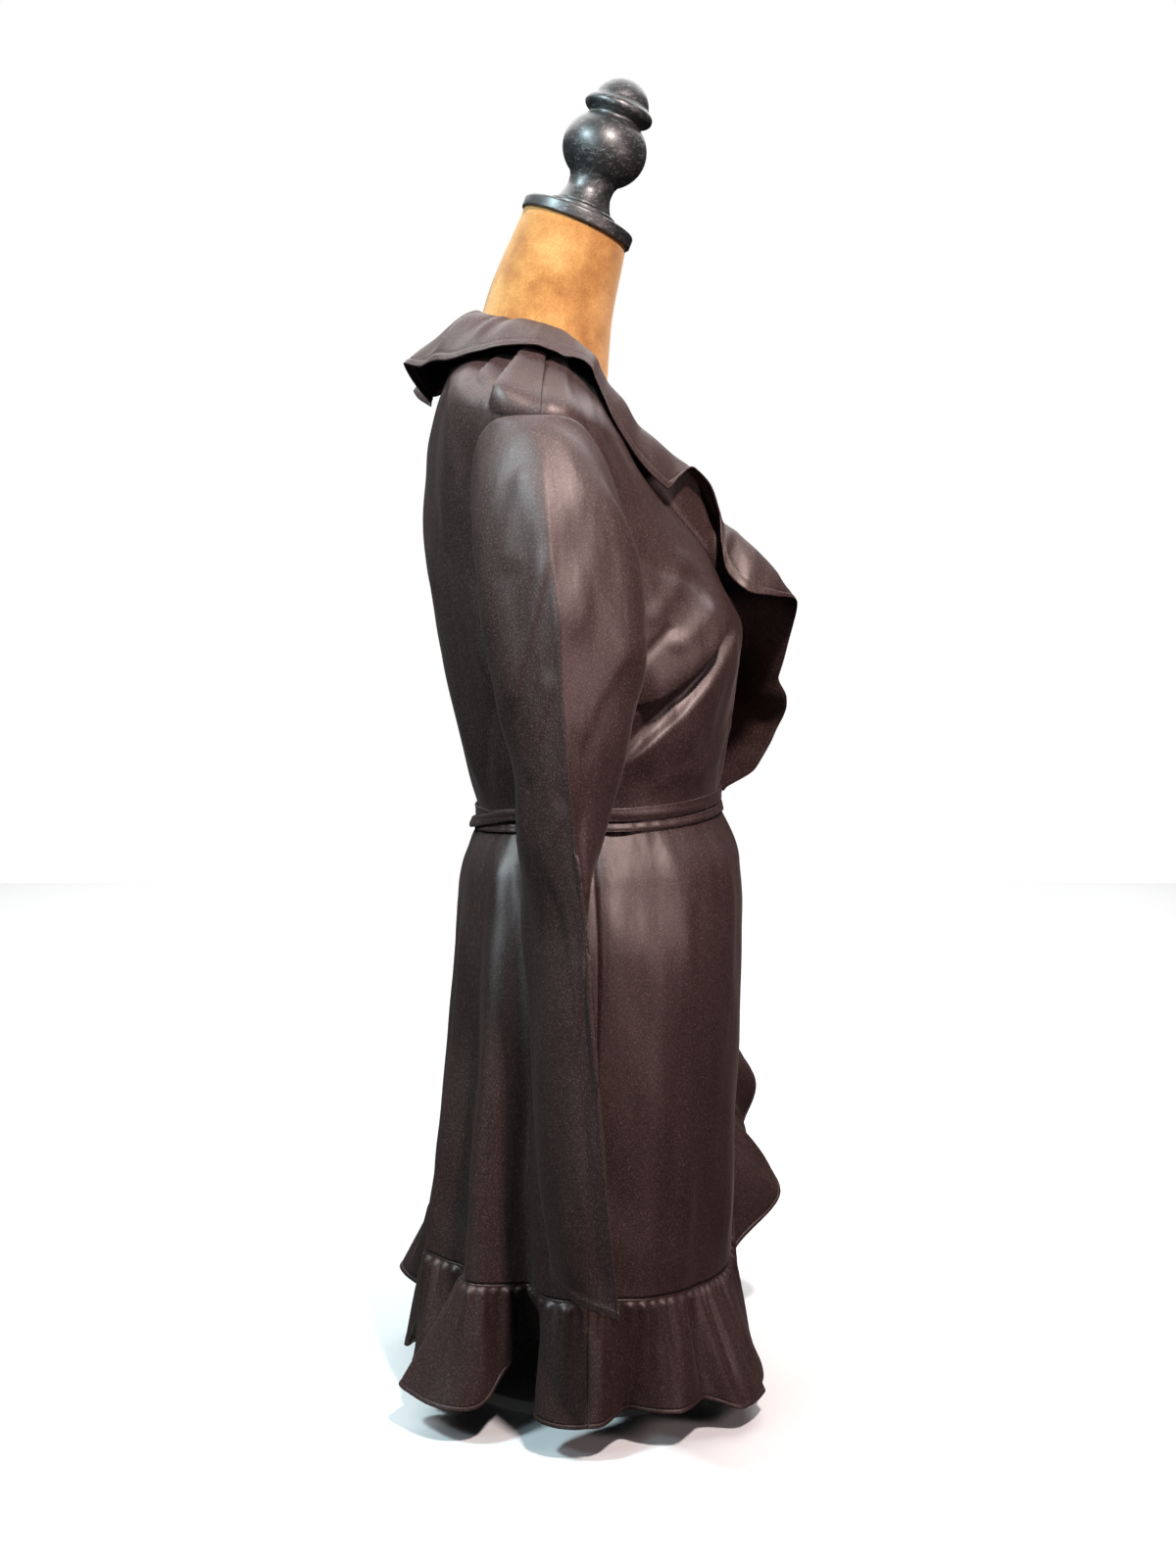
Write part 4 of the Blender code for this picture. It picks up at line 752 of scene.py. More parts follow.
def make_skirt(finish):
    """Back, over front and under front of the skirt."""
    for name, panel, node in (
        ("back_skirt", "back", "skirt_back"), ("right_front_skirt", "right", "skirt_front_right"),
        ("left_front_skirt", "left", "skirt_front_left"),
    ):
        points, _, _ = skirt_grid(panel)
        add_piece(grid_mesh(name, points[:, ::-1]), finish, node, WALL)


def armhole_loop(turn, outward):
    """Closed curve just inside the right armhole: 0 tip, a quarter front, half armpit."""
    wave = 2.0 * pi * turn
    level = ARMHOLE_MIDDLE + (1.0 - ARMHOLE_GAP / LEVEL_HEIGHT) * np.cos(wave)
    on_edge = armhole_opening(ARMHOLE_MIDDLE + np.cos(wave))
    opening = np.maximum(on_edge - np.degrees(ARMHOLE_GAP / ARMHOLE_RADIUS), 0.0)
    angle = 180.0 + np.sign(np.sin(wave)) * opening
    return dress_points(angle, level, outward)


def sleeve_section(section, turn):
    """Closed section through the crease, front, inner and back points."""
    heights = (section.z_out, 0.5 * (section.z_out + section.z_in), section.z_in)
    corners = np.array([
        (*section.crease, heights[0]), (*section.front, heights[1]),
        (*section.inner, heights[2]), (*section.back, heights[1]),
    ])
    after = np.roll(corners, -1, axis=0)
    tangents = 0.5 * SLEEVE_ROUNDNESS * (after - np.roll(corners, 1, axis=0))
    leave = tangents.copy()
    arrive = tangents.copy()
    leave[0] += section.sharp * (corners[1] - corners[0] - tangents[0])
    arrive[0] += section.sharp * (corners[0] - corners[3] - tangents[0])
    quarter = np.minimum((turn * 4.0).astype(int), 3)
    share = (turn * 4.0 - quarter)[:, None]
    ahead = (quarter + 1) % 4
    return hermite(share, corners[quarter], leave[quarter], corners[ahead], arrive[ahead])


def sleeve_grid(columns):
    """Right sleeve: loops from the armhole to the wrist, joined by smooth curves.

    Folds and ripples move the points along the grid's own normals; the hem is a turned band.
    """
    turn = np.arange(columns) / columns
    loops = [armhole_loop(turn, ARMHOLE_START), armhole_loop(turn, ARMHOLE_RISE)]
    loops += [sleeve_section(section, turn) for section in SLEEVE_SECTIONS]
    last = len(SLEEVE_SECTIONS)
    places = np.concatenate([[0.0, 0.3], np.arange(1, last + 1)])
    at = np.concatenate([
        np.linspace(0.0, 1.0, 16), np.linspace(1.0, last - 0.08, 190)[1:],
        np.linspace(last - 0.075, last, 14),
    ])
    flat = np.array(loops).reshape(len(loops), -1)
    smooth = np.stack([spline(places, row, at) for row in flat.T], axis=1).reshape(len(at), columns, 3)

    def around(turned):
        """Distance round the sleeve in eighths, counted so that the crease lies in the middle."""
        return (turned + 0.5) % 1.0 * 8.0 + 4.0

    folds = [f._replace(turn_from=around(f.turn_from), turn_to=around(f.turn_to)) for f in SLEEVE_FOLDS]
    place = at[:, None]
    swing = 2.0 * pi * turn[None, :]
    lift = line_folds(folds, around(turn[None, :]), place)
    lift = lift + ripples(0.06 * np.sin(swing) + 0.3, place * 0.06 + 0.05 * np.cos(swing))
    lift = lift * ease((place - 0.9) / 1.2) * ease((last - 0.05 - place) / 0.3)
    from_hem = (last - place) * SLEEVE_STEP
    band = ease((SLEEVE_HEM - from_hem) / 0.0012) - swell(from_hem - SLEEVE_HEM_STITCH, 0.0007)
    lift = lift + SLEEVE_HEM_HEIGHT * band
    return smooth - grid_normals(smooth, closed=True) * lift[..., None]


def make_sleeves(finish):
    """Two hanging sleeves, walls inward, open at the armhole and at the wrist."""
    right = sleeve_grid(176)
    for side, points in (("right", right), ("left", mirror(right))):
        add_piece(grid_mesh(side + "_sleeve", points, closed=True), finish, "sleeve_" + side, WALL)


def directions(path):
    """Unit direction along a path at each of its points."""
    return unit(np.gradient(path, axis=0))


def resample(path, extra, spacing):
    """Even points along a path, with other rows carried along by distance."""
    length = np.concatenate([[0.0], np.linalg.norm(np.diff(path, axis=0), axis=1).cumsum()])
    at = np.linspace(0.0, length[-1], max(int(length[-1] / spacing), 2))
    points = np.stack([np.interp(at, length, row) for row in path.T], axis=1)
    carried = np.stack([np.interp(at, length, row) for row in extra.T], axis=1)
    return points, carried, at


# Rows of a ruffle as shares of its width, closer at the seam and at the stitched hem
RUFFLE_ROWS = np.concatenate([
    [0.0, 0.015, 0.03, 0.045, 0.06], np.linspace(0.08, 0.92, 27),
    [0.932, 0.94, 0.948, 0.96, 0.975, 0.99, 1.0],
])[:, None, None]


def gather_wave(distance):
    """Uneven gathers along a seam: narrow rounded crests of changing pitch and height."""
    uneven = 1.5 * np.sin(41.0 * distance) + 1.1 * np.sin(97.0 * distance + 1.0)
    phase = 2.0 * pi * distance / GATHER_PITCH + uneven
    height = 0.68 + 0.32 * np.sin(173.0 * distance + 0.7) * np.sin(59.0 * distance)
    return height * (0.5 + 0.5 * np.sin(phase)) ** 1.4


def stitched_hem(v, width):
    """Narrow turned hem: a raised band at the free edge with a stitch line sunk beside it."""
    from_edge = (1.0 - v) * width
    band = ease((HEM_FOLD - from_edge) / 0.0008) - swell(from_edge - HEM_FOLD, 0.0006)
    return HEM_FOLD_HEIGHT * band


def ruffle_grid(seam, normal, down, hem, swell_out, strength, distance):
    """Ruffle from a seam: first along the cloth, then gathered, then out to its waving hem."""
    v = np.maximum(RUFFLE_ROWS - FLAT_SHARE, 0.0) / (1.0 - FLAT_SHARE)
    top = seam + down * RUFFLE_GAP
    flat = down[None] * np.minimum(RUFFLE_ROWS / FLAT_SHARE, 1.0) * FLAT_WIDTH
    fall = 0.35 * ease(v) + 0.65 * v
    gather = GATHER_DEPTH * gather_wave(distance)[:, None] * strength
    reach = (0.33 + 0.17 * np.sin(131.0 * distance + 1.0) * np.sin(47.0 * distance))[None, :, None]
    fade = ease(v / 0.06) * np.exp(-(v / reach) ** 1.4)
    flutes = np.sin(2.0 * pi * distance / FLUTE_PITCH + 1.6 * np.sin(53.0 * distance))[:, None]
    bulge = (swell_out + FLUTE_DEPTH * flutes * strength) * np.sin(pi * v)
    points = top[None] + flat + (hem - top)[None] * fall + normal[None] * (gather[None] * fade + bulge)
    width = np.linalg.norm(hem - top, axis=1)[None, :, None]
    return points - grid_normals(points) * stitched_hem(RUFFLE_ROWS, width)


def seam_frame(seam, inside):
    """Outward normal and downward direction along a panel's edge, from the row inside it."""
    along = directions(seam)
    normal = unit(np.cross(unit(seam - inside), along))
    return normal, unit(np.cross(along, normal))


def smooth_rows(rows, count):
    """Running mean of a path's directions, so that a ruffle doesn't copy the panel's ripples."""
    window = np.ones(2 * count + 1) / (2 * count + 1)
    wide = np.concatenate([np.repeat(rows[:1], count, axis=0), rows, np.repeat(rows[-1:], count, axis=0)])
    return unit(np.stack([np.convolve(row, window, mode="valid") for row in wide.T], axis=1))


def hem_line(seam, normal, angle):
    """Waving hem below a skirt panel's bottom edge."""
    place = np.mod(angle, 360.0)
    wave_angles = [wave.angle for wave in HEM_WAVES]
    hem = seam + normal * column(HEM_WAVES, "out", place, wave_angles)[:, None]
    hem[:, 2] = column(HEM_WAVES, "z", place, wave_angles)
    return hem


def edge_line(seam, level):
    """Waving hem beside the over front's free edge."""
    levels = [wave.level for wave in EDGE_WAVES]
    reach = [column(EDGE_WAVES, part, level, levels) for part in ("right", "forward", "up")]
    return seam + np.stack([reach[0], -reach[1], reach[2]], axis=1)


def make_hem_ruffle(panel, finish):
    """Ruffle along a skirt panel's lower edge; the over front's goes on up its free edge.

    At a side seam it stands straight out and lies nearly flat, so that it meets the next ruffle.
    """
    grid, angles, levels = skirt_grid(panel)
    path = np.concatenate([grid, angles[..., None], levels[..., None]], axis=-1)
    seam = path[-1]
    inside = path[-3].copy()
    if panel == "right":
        inside[-1] = path[-3, -3]
        seam = np.concatenate([seam, path[-2:3:-1, -1]])
        inside = np.concatenate([inside, path[-2:3:-1, -3]])
    normal, down = seam_frame(seam[:, :3], inside[:, :3])
    extra = np.concatenate([normal, down, seam[:, 3:]], axis=1)
    seam, carried, distance = resample(seam[:, :3], extra, RUFFLE_STEP)
    normal, down, angle, level = carried[:, 0:3], carried[:, 3:6], carried[:, 6], carried[:, 7]
    normal = smooth_rows(normal, 4)
    down = smooth_rows(down, 4)
    from_side_seam = np.abs((angle + 90.0) % 180.0 - 90.0)
    normal[:, 1] *= ease(from_side_seam / TURNED_STRAIGHT)
    normal = unit(normal)
    gathered = FLAT_GATHERS + (1.0 - FLAT_GATHERS) * ease(from_side_seam / SEWN_FLAT)
    swell_out = 0.0 * angle
    hem = hem_line(seam, normal, angle)
    if panel == "left":
        gathered = gathered * ease((angle - UNDER_EDGE_AT_HEM - 12.0) / 20.0)
    if panel == "right":
        hem = hem_line(seam, normal, np.minimum(angle, SKIRT_EDGE_AT_HEM))
        turned_up = ease((angle - SKIRT_EDGE_AT_HEM) / 24.0)[:, None]
        hem = hem + (edge_line(seam, level) - hem) * turned_up
        swell_out = EDGE_SWELL * ease((level - 0.3) / 1.5)
    points = ruffle_grid(seam, normal, down, hem, swell_out[:, None], gathered[:, None], distance)
    mesh = grid_mesh(panel + "_hem_ruffle", points[:, ::-1])
    add_piece(mesh, finish, "hem_ruffle_" + panel, RUFFLE_WALL)


def neck_path(outward):
    """Right half of the neckline: round the back neck, then down the free edge."""
    back_angle = np.linspace(90.0, 180.0, 60)
    level = bodice_levels()[::-1]
    level = level[level > BODICE_RUFFLE_END - 0.001]
    angle = np.concatenate([back_angle, neckline_angle(level)])
    place = np.concatenate([(back_angle - 90.0) / 93.0, 1.0 + (NECK - level) / (NECK - WAIST)])
    level = np.concatenate([np.full_like(back_angle, NECK), level])
    return dress_points(angle, level, outward(angle, level)), angle, level, place


def neck_ruffle_grid(end, outward, drop):
    """Right neck ruffle: up off the neckline, then over to its waving hem.

    Each column is the parabola through the neckline, the middle and the hem point.
    """
    edge, angle, level, place = neck_path(outward)
    normal = surface_normals(dress_base, angle, level)
    away = unit(np.cross(directions(edge), normal))
    side = np.sign((away * (edge.mean(axis=0) - edge)).sum(axis=1).mean())
    seam = edge + away * side * (NECK_GAP + 0.5 * RUFFLE_WALL)
    seam[0, 0] = -NECK_SEAM
    keep = place <= end
    extra = np.concatenate([normal, place[:, None]], axis=1)[keep]
    seam, carried, distance = resample(seam[keep], extra, RUFFLE_STEP)
    normal, place = carried[:, 0:3], carried[:, 3]
    places = [wave.place for wave in NECK_WAVES]
    reach = [column(NECK_WAVES, part, place, places) for part in NeckWave._fields[1:]]
    to_hem = np.stack([-reach[0], reach[1], reach[2] - drop * swell(place - 0.24, 0.22)], axis=1)
    to_middle = np.stack([-reach[3], reach[4], reach[5]], axis=1)
    v = RUFFLE_ROWS
    gather = NECK_GATHER * gather_wave(0.8 * distance)[:, None]
    gathered = gather[None] * ease(v / 0.10) * (1.0 - ease((v - 0.08) / 0.4))
    rise = 0.5 * WALL + NECK_RISE * ease(v / 0.05)
    w = np.maximum(v - FLAT_SHARE, 0.0) / (1.0 - FLAT_SHARE)
    over = 4.0 * w * (1.0 - w) * to_middle[None] + w * (2.0 * w - 1.0) * to_hem[None]
    along = place[None, :, None]
    slant = np.sin(2.0 * pi * (along / 0.17 + 0.8 * v) + 1.2 * np.sin(19.0 * along))
    pleats = NECK_PLEAT * slant * swell(along - 0.42, 0.34) * np.sin(pi * v) ** 1.5
    points = seam[None] + normal[None] * (rise + gathered + pleats) + over
    points[..., 2:] += NECK_STAND * swell(along, 0.75) * ease(v / 0.14) * (1.0 - v)
    width = (np.linalg.norm(to_middle, axis=1) + np.linalg.norm(to_hem - to_middle, axis=1))[None, :, None]
    points = points - grid_normals(points) * stitched_hem(v, width)
    points[:, 0, 0] = seam[0, 0]
    return points


def make_neck_ruffles(finish):
    """Two neck ruffles that meet at the centre back."""
    right = neck_ruffle_grid(2.0, over_front_offset, 0.0)[:, ::-1]
    left = mirror(neck_ruffle_grid(LEFT_NECK_END, no_offset, LEFT_NECK_DROP)[:, ::-1])
    for side, points in (("right", right), ("left", left)):
        add_piece(grid_mesh(side + "_neck_ruffle", points), finish, "neck_ruffle_" + side, RUFFLE_WALL, 0.0)


def belt_rest(angle):
    """How far the belt's inner face stands off the body: it lies on the layers under it."""
    angle = np.mod(angle, 360.0)
    over = over_front_offset(angle + 7.0, np.full_like(angle, WAIST))
    end = 1.0 - ease((angle - SKIRT_EDGE_AT_WAIST - 3.0) / 14.0)
    return WALL + over * end + BELT_CLEARANCE


def make_band(name, node, wrap, finish, angle, extra=0.0, twist=0.0, closed=True):
    """Flat band round the waist between two heights, creased along its length.

    Across its width it is a low arch; long creases and a half twist move its points in and out.
    """
    waist = dress_points(angle, np.full_like(angle, WAIST), 0.0)
    rows = []
    for share in np.linspace(0.0, 1.0, 13):
        squeeze = 1.0 - 0.35 * twist
        height = 0.5 * (wrap.low + wrap.high) + (wrap.high - wrap.low) * (share - 0.5) * squeeze
        level = WAIST + height / np.where(height > 0.0, LEVEL_ABOVE_WAIST, LEVEL_BELOW_WAIST)
        crown = BELT_CROWN * (1.0 - abs(2.0 * share - 1.0) ** 2)
        crease = 0.00022 * np.sin(9.0 * share + 0.05 * angle)
        crease = crease + 0.0009 * twist * np.sin(5.0 * share + 0.22 * angle)
        row = dress_points(angle, level + 0.0 * angle, belt_rest(angle) + extra + crown + crease)
        row[:, 2] = waist[:, 2] + height
        rows.append(row)
    add_piece(grid_mesh(name, np.array(rows), closed=closed), finish, node, BELT_WALL)


def make_belt(finish):
    """Tie belt: two wraps, a crossing strand at the back, a knot and two ends on the left."""
    around = np.linspace(0.0, 360.0, 361)[:-1]
    twist = swell(around - 128.0, 12.0) + swell(around - 60.0, 12.0)
    make_band("belt_upper", "belt_upper_wrap", UPPER_WRAP, finish, around, twist=twist)
    make_band("belt_lower", "belt_lower_wrap", LOWER_WRAP, finish, around)
    across = np.linspace(14.0, 172.0, 170)
    low = -0.014 + 0.016 * ease((across - 60.0) / 110.0)
    strand = Wrap(low, low + 0.008)
    lift = BELT_WALL + BELT_CROWN + BELT_CLEARANCE
    make_band("belt_crossing", "belt_back_strand", strand, finish, across, extra=lift, closed=False)
    make_knot(finish)


def make_knot(finish):
    """Half-bow knot on the wearer's left and the two ends that hang from it."""
    angle = np.array([KNOT_ANGLE])
    outward = belt_rest(angle) + BELT_WALL + BELT_CROWN + KNOT_SEAT
    centre = dress_points(angle, np.array([WAIST]), outward)[0]
    turn = np.linspace(0.0, 2.0 * pi, 65)[None, :-1]
    rise = np.linspace(-0.5 * pi, 0.5 * pi, 34)[1:-1, None]
    x = np.cos(rise) * np.cos(turn)
    y = np.cos(rise) * np.sin(turn)
    z = np.sin(rise) + 0.0 * turn
    ridge = 1.0 + 0.09 * np.sin(3.0 * (z * 2.0 + y)) - 0.05 * np.abs(np.sin(4.0 * z + 2.0 * x))
    points = centre + np.stack([x * ridge, y * ridge, z], axis=-1) * KNOT_HALF_SIZE
    add_piece(grid_mesh("belt_bow", points, closed=True, ends=(0, len(rise) - 1)), finish, "belt_knot")
    for name, node, lean, length, drop in (
        ("belt_tail_front", "belt_end_front", -0.020, 0.175, 0.0113),
        ("belt_tail_back", "belt_end_back", 0.018, 0.150, 0.0117),
    ):
        v = np.linspace(0.0, 1.0, 90)[:, None]
        u = np.linspace(-0.5, 0.5, 15)[None, :]
        z = centre[2] - drop - v * length + 0.0 * u
        away = spline((0.0, 0.25, 0.6, 1.0), (0.0, 0.022, 0.040, 0.046), v)
        waves = 0.002 * np.sin(6.0 * v + 4.0 * u) + 0.0006 * np.cos(19.0 * v + 5.0 * u)
        x = centre[0] + 0.001 + away + waves
        y = centre[1] + np.sign(lean) * 0.0062 + lean * v + u * (0.010 + 0.006 * ease(v / 0.3))
        add_piece(grid_mesh(name, np.stack([x, y, z], axis=-1)[::-1]), finish, node, BELT_WALL)


def make_form(finish):
    """Torso with its neck, closed by a flat foot and by a neck top that leans as the cap does."""
    level = np.concatenate([
        np.linspace(0.0, 1.0, 9), np.linspace(1.0, 12.0, 120)[1:], np.linspace(12.0, 14.0, 42)[1:],
    ])[:, None]
    angle = np.linspace(0.0, 360.0, 181)[None, :-1]
    points = form_points(angle, level)
    points[0, :, 2] = FORM_FOOT
    top = points[-1]
    axis = np.array(Matrix.Rotation(FINIAL_LEAN, 3, "X").col[2])
    foot = np.array(FINIAL_FOOT) - axis * SEAM
    top[:, 2] = foot[2] - ((top[:, :2] - foot[:2]) @ axis[:2]) / axis[2]
    add_piece(grid_mesh("torso", points, closed=True, ends=(0, len(points) - 1)), finish, "form_torso")


def make_turned(name, node, profile, finish, place, segments=120):
    """Turned piece: a profile of radius and height, top to bottom, carried round the axis."""
    radius, height = np.array(profile).T[..., None]
    turn = -np.linspace(0.0, 2.0 * pi, segments + 1)[None, :-1]
    local = np.stack([radius * np.cos(turn), radius * np.sin(turn), height + 0.0 * turn], axis=-1)
    matrix = np.array(place)
    points = local @ matrix[:3, :3].T + matrix[:3, 3]
    add_piece(grid_mesh(name, points, closed=True, ends=(0, len(profile) - 1)), finish, node)


def arc(centre, radius_across, radius_along, start, end, count):
    """Points of an elliptic arc in the profile's plane, angles from the widest point upward."""
    angles = np.radians(np.linspace(start, end, count))
    return [(centre[0] + radius_across * np.cos(a), centre[1] + radius_along * np.sin(a)) for a in angles]


def make_finial(finish):
    """Neck cap with a rounded step, and the finial: foot, stem, bulb, ring and dome."""
    cap_place = Matrix.Translation(FINIAL_FOOT) @ Matrix.Rotation(FINIAL_LEAN, 4, "X")
    cap = [(AXIS_RADIUS, 0.0175)] + arc((0.0265, 0.0150), 0.0025, 0.0025, 90, 0, 8)
    cap += [(0.0290, 0.0118)] + arc((0.0298, 0.0112), 0.0008, 0.0006, 180, 270, 4)
    cap += arc((0.0446, 0.0082), 0.0022, 0.0024, 90, 0, 8)
    cap += arc((0.0454, 0.0016), 0.0014, 0.0014, 0, -90, 6) + [(AXIS_RADIUS, 0.0002)]
    make_turned("cap", "neck_cap", cap, finish, cap_place)
    place = cap_place @ Matrix.Translation((0.0, 0.0, 0.0003)) @ Matrix.Rotation(-radians(0.8), 4, "X")
    dome = [(AXIS_RADIUS, 0.1262)] + arc((0.0, 0.1020), 0.0235, 0.0242, 86, 16, 22)
    ring = arc((0.0205, 0.1000), 0.0082, 0.0062, 66, -70, 20)
    bulb = arc((0.0, 0.0675), 0.0347, 0.0305, 52, -52, 34)
    down = np.linspace(0.3, 4.0, 16)
    stem_radius = spline(range(5), (0.0212, 0.0190, 0.0186, 0.0205, 0.0240), down)
    stem_height = spline(range(5), (0.0435, 0.0380, 0.0320, 0.0250, 0.0178), down)
    finial = dome + ring + bulb + list(zip(stem_radius, stem_height)) + [(AXIS_RADIUS, 0.0178)]
    make_turned("turned_finial", "finial", finial, finish, place)


def make_stand(finish):
    """Round base plate with a softened rim, and the pole up to the form's foot."""
    still = Matrix.Identity(4)
    edge = 0.0015
    plate = [(AXIS_RADIUS, BASE_THICKNESS)]
    plate += arc((BASE_RADIUS - edge, BASE_THICKNESS - edge), edge, edge, 90, 0, 6)
    plate += arc((BASE_RADIUS - edge, edge), edge, edge, 0, -90, 6) + [(AXIS_RADIUS, 0.0)]
    make_turned("base_plate", "stand_base", plate, finish, still)
    top = FORM_FOOT - SEAM
    bottom = BASE_THICKNESS + SEAM
    edge = 0.0004
    pole = [(AXIS_RADIUS, top), (POLE_RADIUS - edge, top), (POLE_RADIUS, top - edge),
            (POLE_RADIUS, bottom + edge), (POLE_RADIUS - edge, bottom), (AXIS_RADIUS, bottom)]
    make_turned("pole", "stand_pole", pole, finish, still, 64)


class Finish:
    """A Principled material that keeps the name of its slot, with short ways to add its texture nodes."""

    def __init__(self, name, slot, **sockets):
        self.slot = slot
        self.material = bpy.data.materials.new(name)
        self.material.use_nodes = True
        self.tree = self.material.node_tree
        self.shader = self.tree.nodes["Principled BSDF"]
        for label, value in sockets.items():
            self.shader.inputs[label.replace("_", " ")].default_value = value
        self.object_coordinates = self.tree.nodes.new("ShaderNodeTexCoord").outputs["Object"]

    def add(self, kind, inputs=None, **settings):
        """New node with its settings and its inputs, each a value or another node's output."""
        node = self.tree.nodes.new("ShaderNode" + kind)
        for label, value in settings.items():
            setattr(node, label, value)
        for label, value in (inputs or {}).items():
            socket = node.inputs[label]
            if isinstance(value, bpy.types.NodeSocket):
                self.tree.links.new(value, socket)
            else:
                socket.default_value = value
        return node

    def stretched(self, scale, turn=0.0, source=None):
        """Object coordinates or another source, stretched after a turn about the x axis."""
        vector = self.object_coordinates if source is None else source
        inputs = {"Vector": vector, "Rotation": (turn, 0.0, 0.0), "Scale": scale}
        return self.add("Mapping", inputs).outputs["Vector"]

    def noise(self, scale, detail, roughness, source=None):
        """Value of a noise texture over object coordinates or another source."""
        vector = self.object_coordinates if source is None else source
        inputs = {"Vector": vector, "Scale": scale, "Detail": detail, "Roughness": roughness}
        return self.add("TexNoise", inputs).outputs["Fac"]

    def ramp(self, value, stops):
        """Colour ramp of (place, colour) stops."""
        node = self.add("ValToRGB", {"Fac": value})
        elements = node.color_ramp.elements
        while len(elements) < len(stops):
            elements.new(0.5)
        for element, (place, colour) in zip(elements, stops):
            element.position = place
            element.color = colour
        return node.outputs["Color"]

    def spread(self, value, low, high):
        """Noise value mapped from its usual range to low..high."""
        inputs = {"Value": value, "From Min": 0.3, "From Max": 0.7, "To Min": low, "To Max": high}
        return self.add("MapRange", inputs).outputs["Result"]

    def bump(self, height, distance, strength, under=None):
        """Bump node, on top of another one where it is given."""
        inputs = {"Height": height, "Distance": distance, "Strength": strength}
        if under is not None:
            inputs["Normal"] = under
        return self.add("Bump", inputs).outputs["Normal"]

    def set(self, label, output):
        """Link an output to the shader."""
        self.tree.links.new(output, self.shader.inputs[label])


def grey(value):
    """Neutral colour."""
    return (value, value, value, 1.0)


def satin_finish():
    """Black-brown crepe satin of uneven tone: fine floats in the bump, light speckles painted into the
    colour as glints of the weave, a soft broad sheen, faint crushed areas.
    """
    satin = Finish(
        "black satin", "satin", Roughness=0.60, IOR=1.55,
        Sheen_Weight=0.06, Sheen_Roughness=0.40, Sheen_Tint=(0.85, 0.68, 0.64, 1.0),
        Specular_IOR_Level=0.75, Specular_Tint=(1.0, 0.88, 0.85, 1.0),
    )
    cloth = satin.add("UVMap", uv_map="cloth").outputs["UV"]
    floats = satin.noise(1900.0, 2.0, 0.6, satin.stretched((1.0, 0.28, 1.0), source=cloth))
    tone_and_glint_speckle = satin.noise(860.0, 2.0, 0.7)
    patches = satin.noise(9.0, 3.0, 0.55)
    # Base colour from the fine speckle: the dark and middle stops are the satin's own uneven tone, the
    # bright top stop is painted glint of the weave.
    satin.set("Base Color", satin.ramp(tone_and_glint_speckle, (
        (0.33, (0.015, 0.0058, 0.0052, 1.0)), (0.54, (0.033, 0.0148, 0.0132, 1.0)),
        (0.73, (0.125, 0.080, 0.072, 1.0)),
    )))
    satin.set("Roughness", satin.spread(patches, 0.46, 0.57))
    hanging = satin.noise(34.0, 3.0, 0.55, satin.stretched((1.0, 1.0, 0.22)))
    dragged = satin.noise(15.0, 2.0, 0.5, satin.stretched((1.0, 1.0, 0.30), 0.9))
    crushed = satin.bump(hanging, 0.0045, 0.38)
    crushed = satin.bump(dragged, 0.0100, 0.30, crushed)
    satin.set("Normal", satin.bump(floats, 0.00012, 0.30, crushed))
    return satin


def suede_finish():
    """Camel suede: soft nap in brushed patches, fine pile, hardly any gloss."""
    suede = Finish(
        "camel suede", "suede", Roughness=0.92, Specular_IOR_Level=0.2,
        Sheen_Weight=0.45, Sheen_Roughness=0.55, Sheen_Tint=(1.0, 0.78, 0.55, 1.0),
    )
    nap = suede.noise(26.0, 4.0, 0.6)
    pile = suede.noise(620.0, 4.0, 0.7)
    tone = suede.ramp(nap, (
        (0.34, (0.34, 0.135, 0.034, 1.0)), (0.50, (0.47, 0.218, 0.060, 1.0)),
        (0.64, (0.60, 0.305, 0.098, 1.0)),
    ))
    grain = suede.ramp(pile, ((0.35, grey(0.62)), (0.60, grey(1.0))))
    colours = {"Factor": 0.75, "A": tone, "B": grain}
    suede.set("Base Color", suede.add("Mix", colours, data_type="RGBA", blend_type="MULTIPLY").outputs[2])
    soft = suede.bump(nap, 0.0006, 0.25)
    suede.set("Normal", suede.bump(pile, 0.00025, 0.45, soft))
    return suede


def painted_wood_finish():
    """Black paint brushed thin over turned wood: silvery grain shows through in streaks and flecks."""
    wood = Finish(
        "brushed black wood", "painted_wood", Roughness=0.36, Specular_IOR_Level=0.7,
        Coat_Weight=0.6, Coat_Roughness=0.34,
    )
    strokes = wood.noise(150.0, 4.0, 0.7, wood.stretched((1.0, 1.0, 2.6), -FINIAL_LEAN))
    flecks = wood.noise(760.0, 3.0, 0.75, wood.stretched((1.0, 1.0, 1.8), -FINIAL_LEAN))
    joined = wood.add("Math", {0: strokes, 1: flecks}, operation="MULTIPLY").outputs[0]
    wood.set("Base Color", wood.ramp(joined, ((0.22, grey(0.012)), (0.30, grey(0.022)), (0.37, grey(0.16)))))
    wood.set("Metallic", wood.spread(joined, 0.0, 0.4))
    wood.set("Roughness", wood.spread(flecks, 0.30, 0.58))
    wood.set("Normal", wood.bump(joined, 0.0006, 0.55))
    return wood


def painted_steel_finish():
    """White satin paint with a faint orange-peel surface."""
    steel = Finish("white painted steel", "painted_steel", Roughness=0.45, Specular_IOR_Level=0.5)
    peel = steel.noise(420.0, 2.0, 0.5)
    cloud = steel.noise(12.0, 2.0, 0.5)
    steel.set("Base Color", steel.ramp(cloud, ((0.3, grey(0.80)), (0.7, grey(0.87)))))
    steel.set("Roughness", steel.spread(peel, 0.40, 0.50))
    steel.set("Normal", steel.bump(peel, 0.0001, 0.2))
    return steel


def floor_finish():
    """Plain pale floor, which is no piece of the part and fills no slot."""
    floor = Finish("pale floor", None, Roughness=0.85)
    soft = floor.noise(3.0, 2.0, 0.5)
    floor.set("Base Color", floor.ramp(soft, ((0.3, grey(0.86)), (0.7, grey(0.90)))))
    return floor


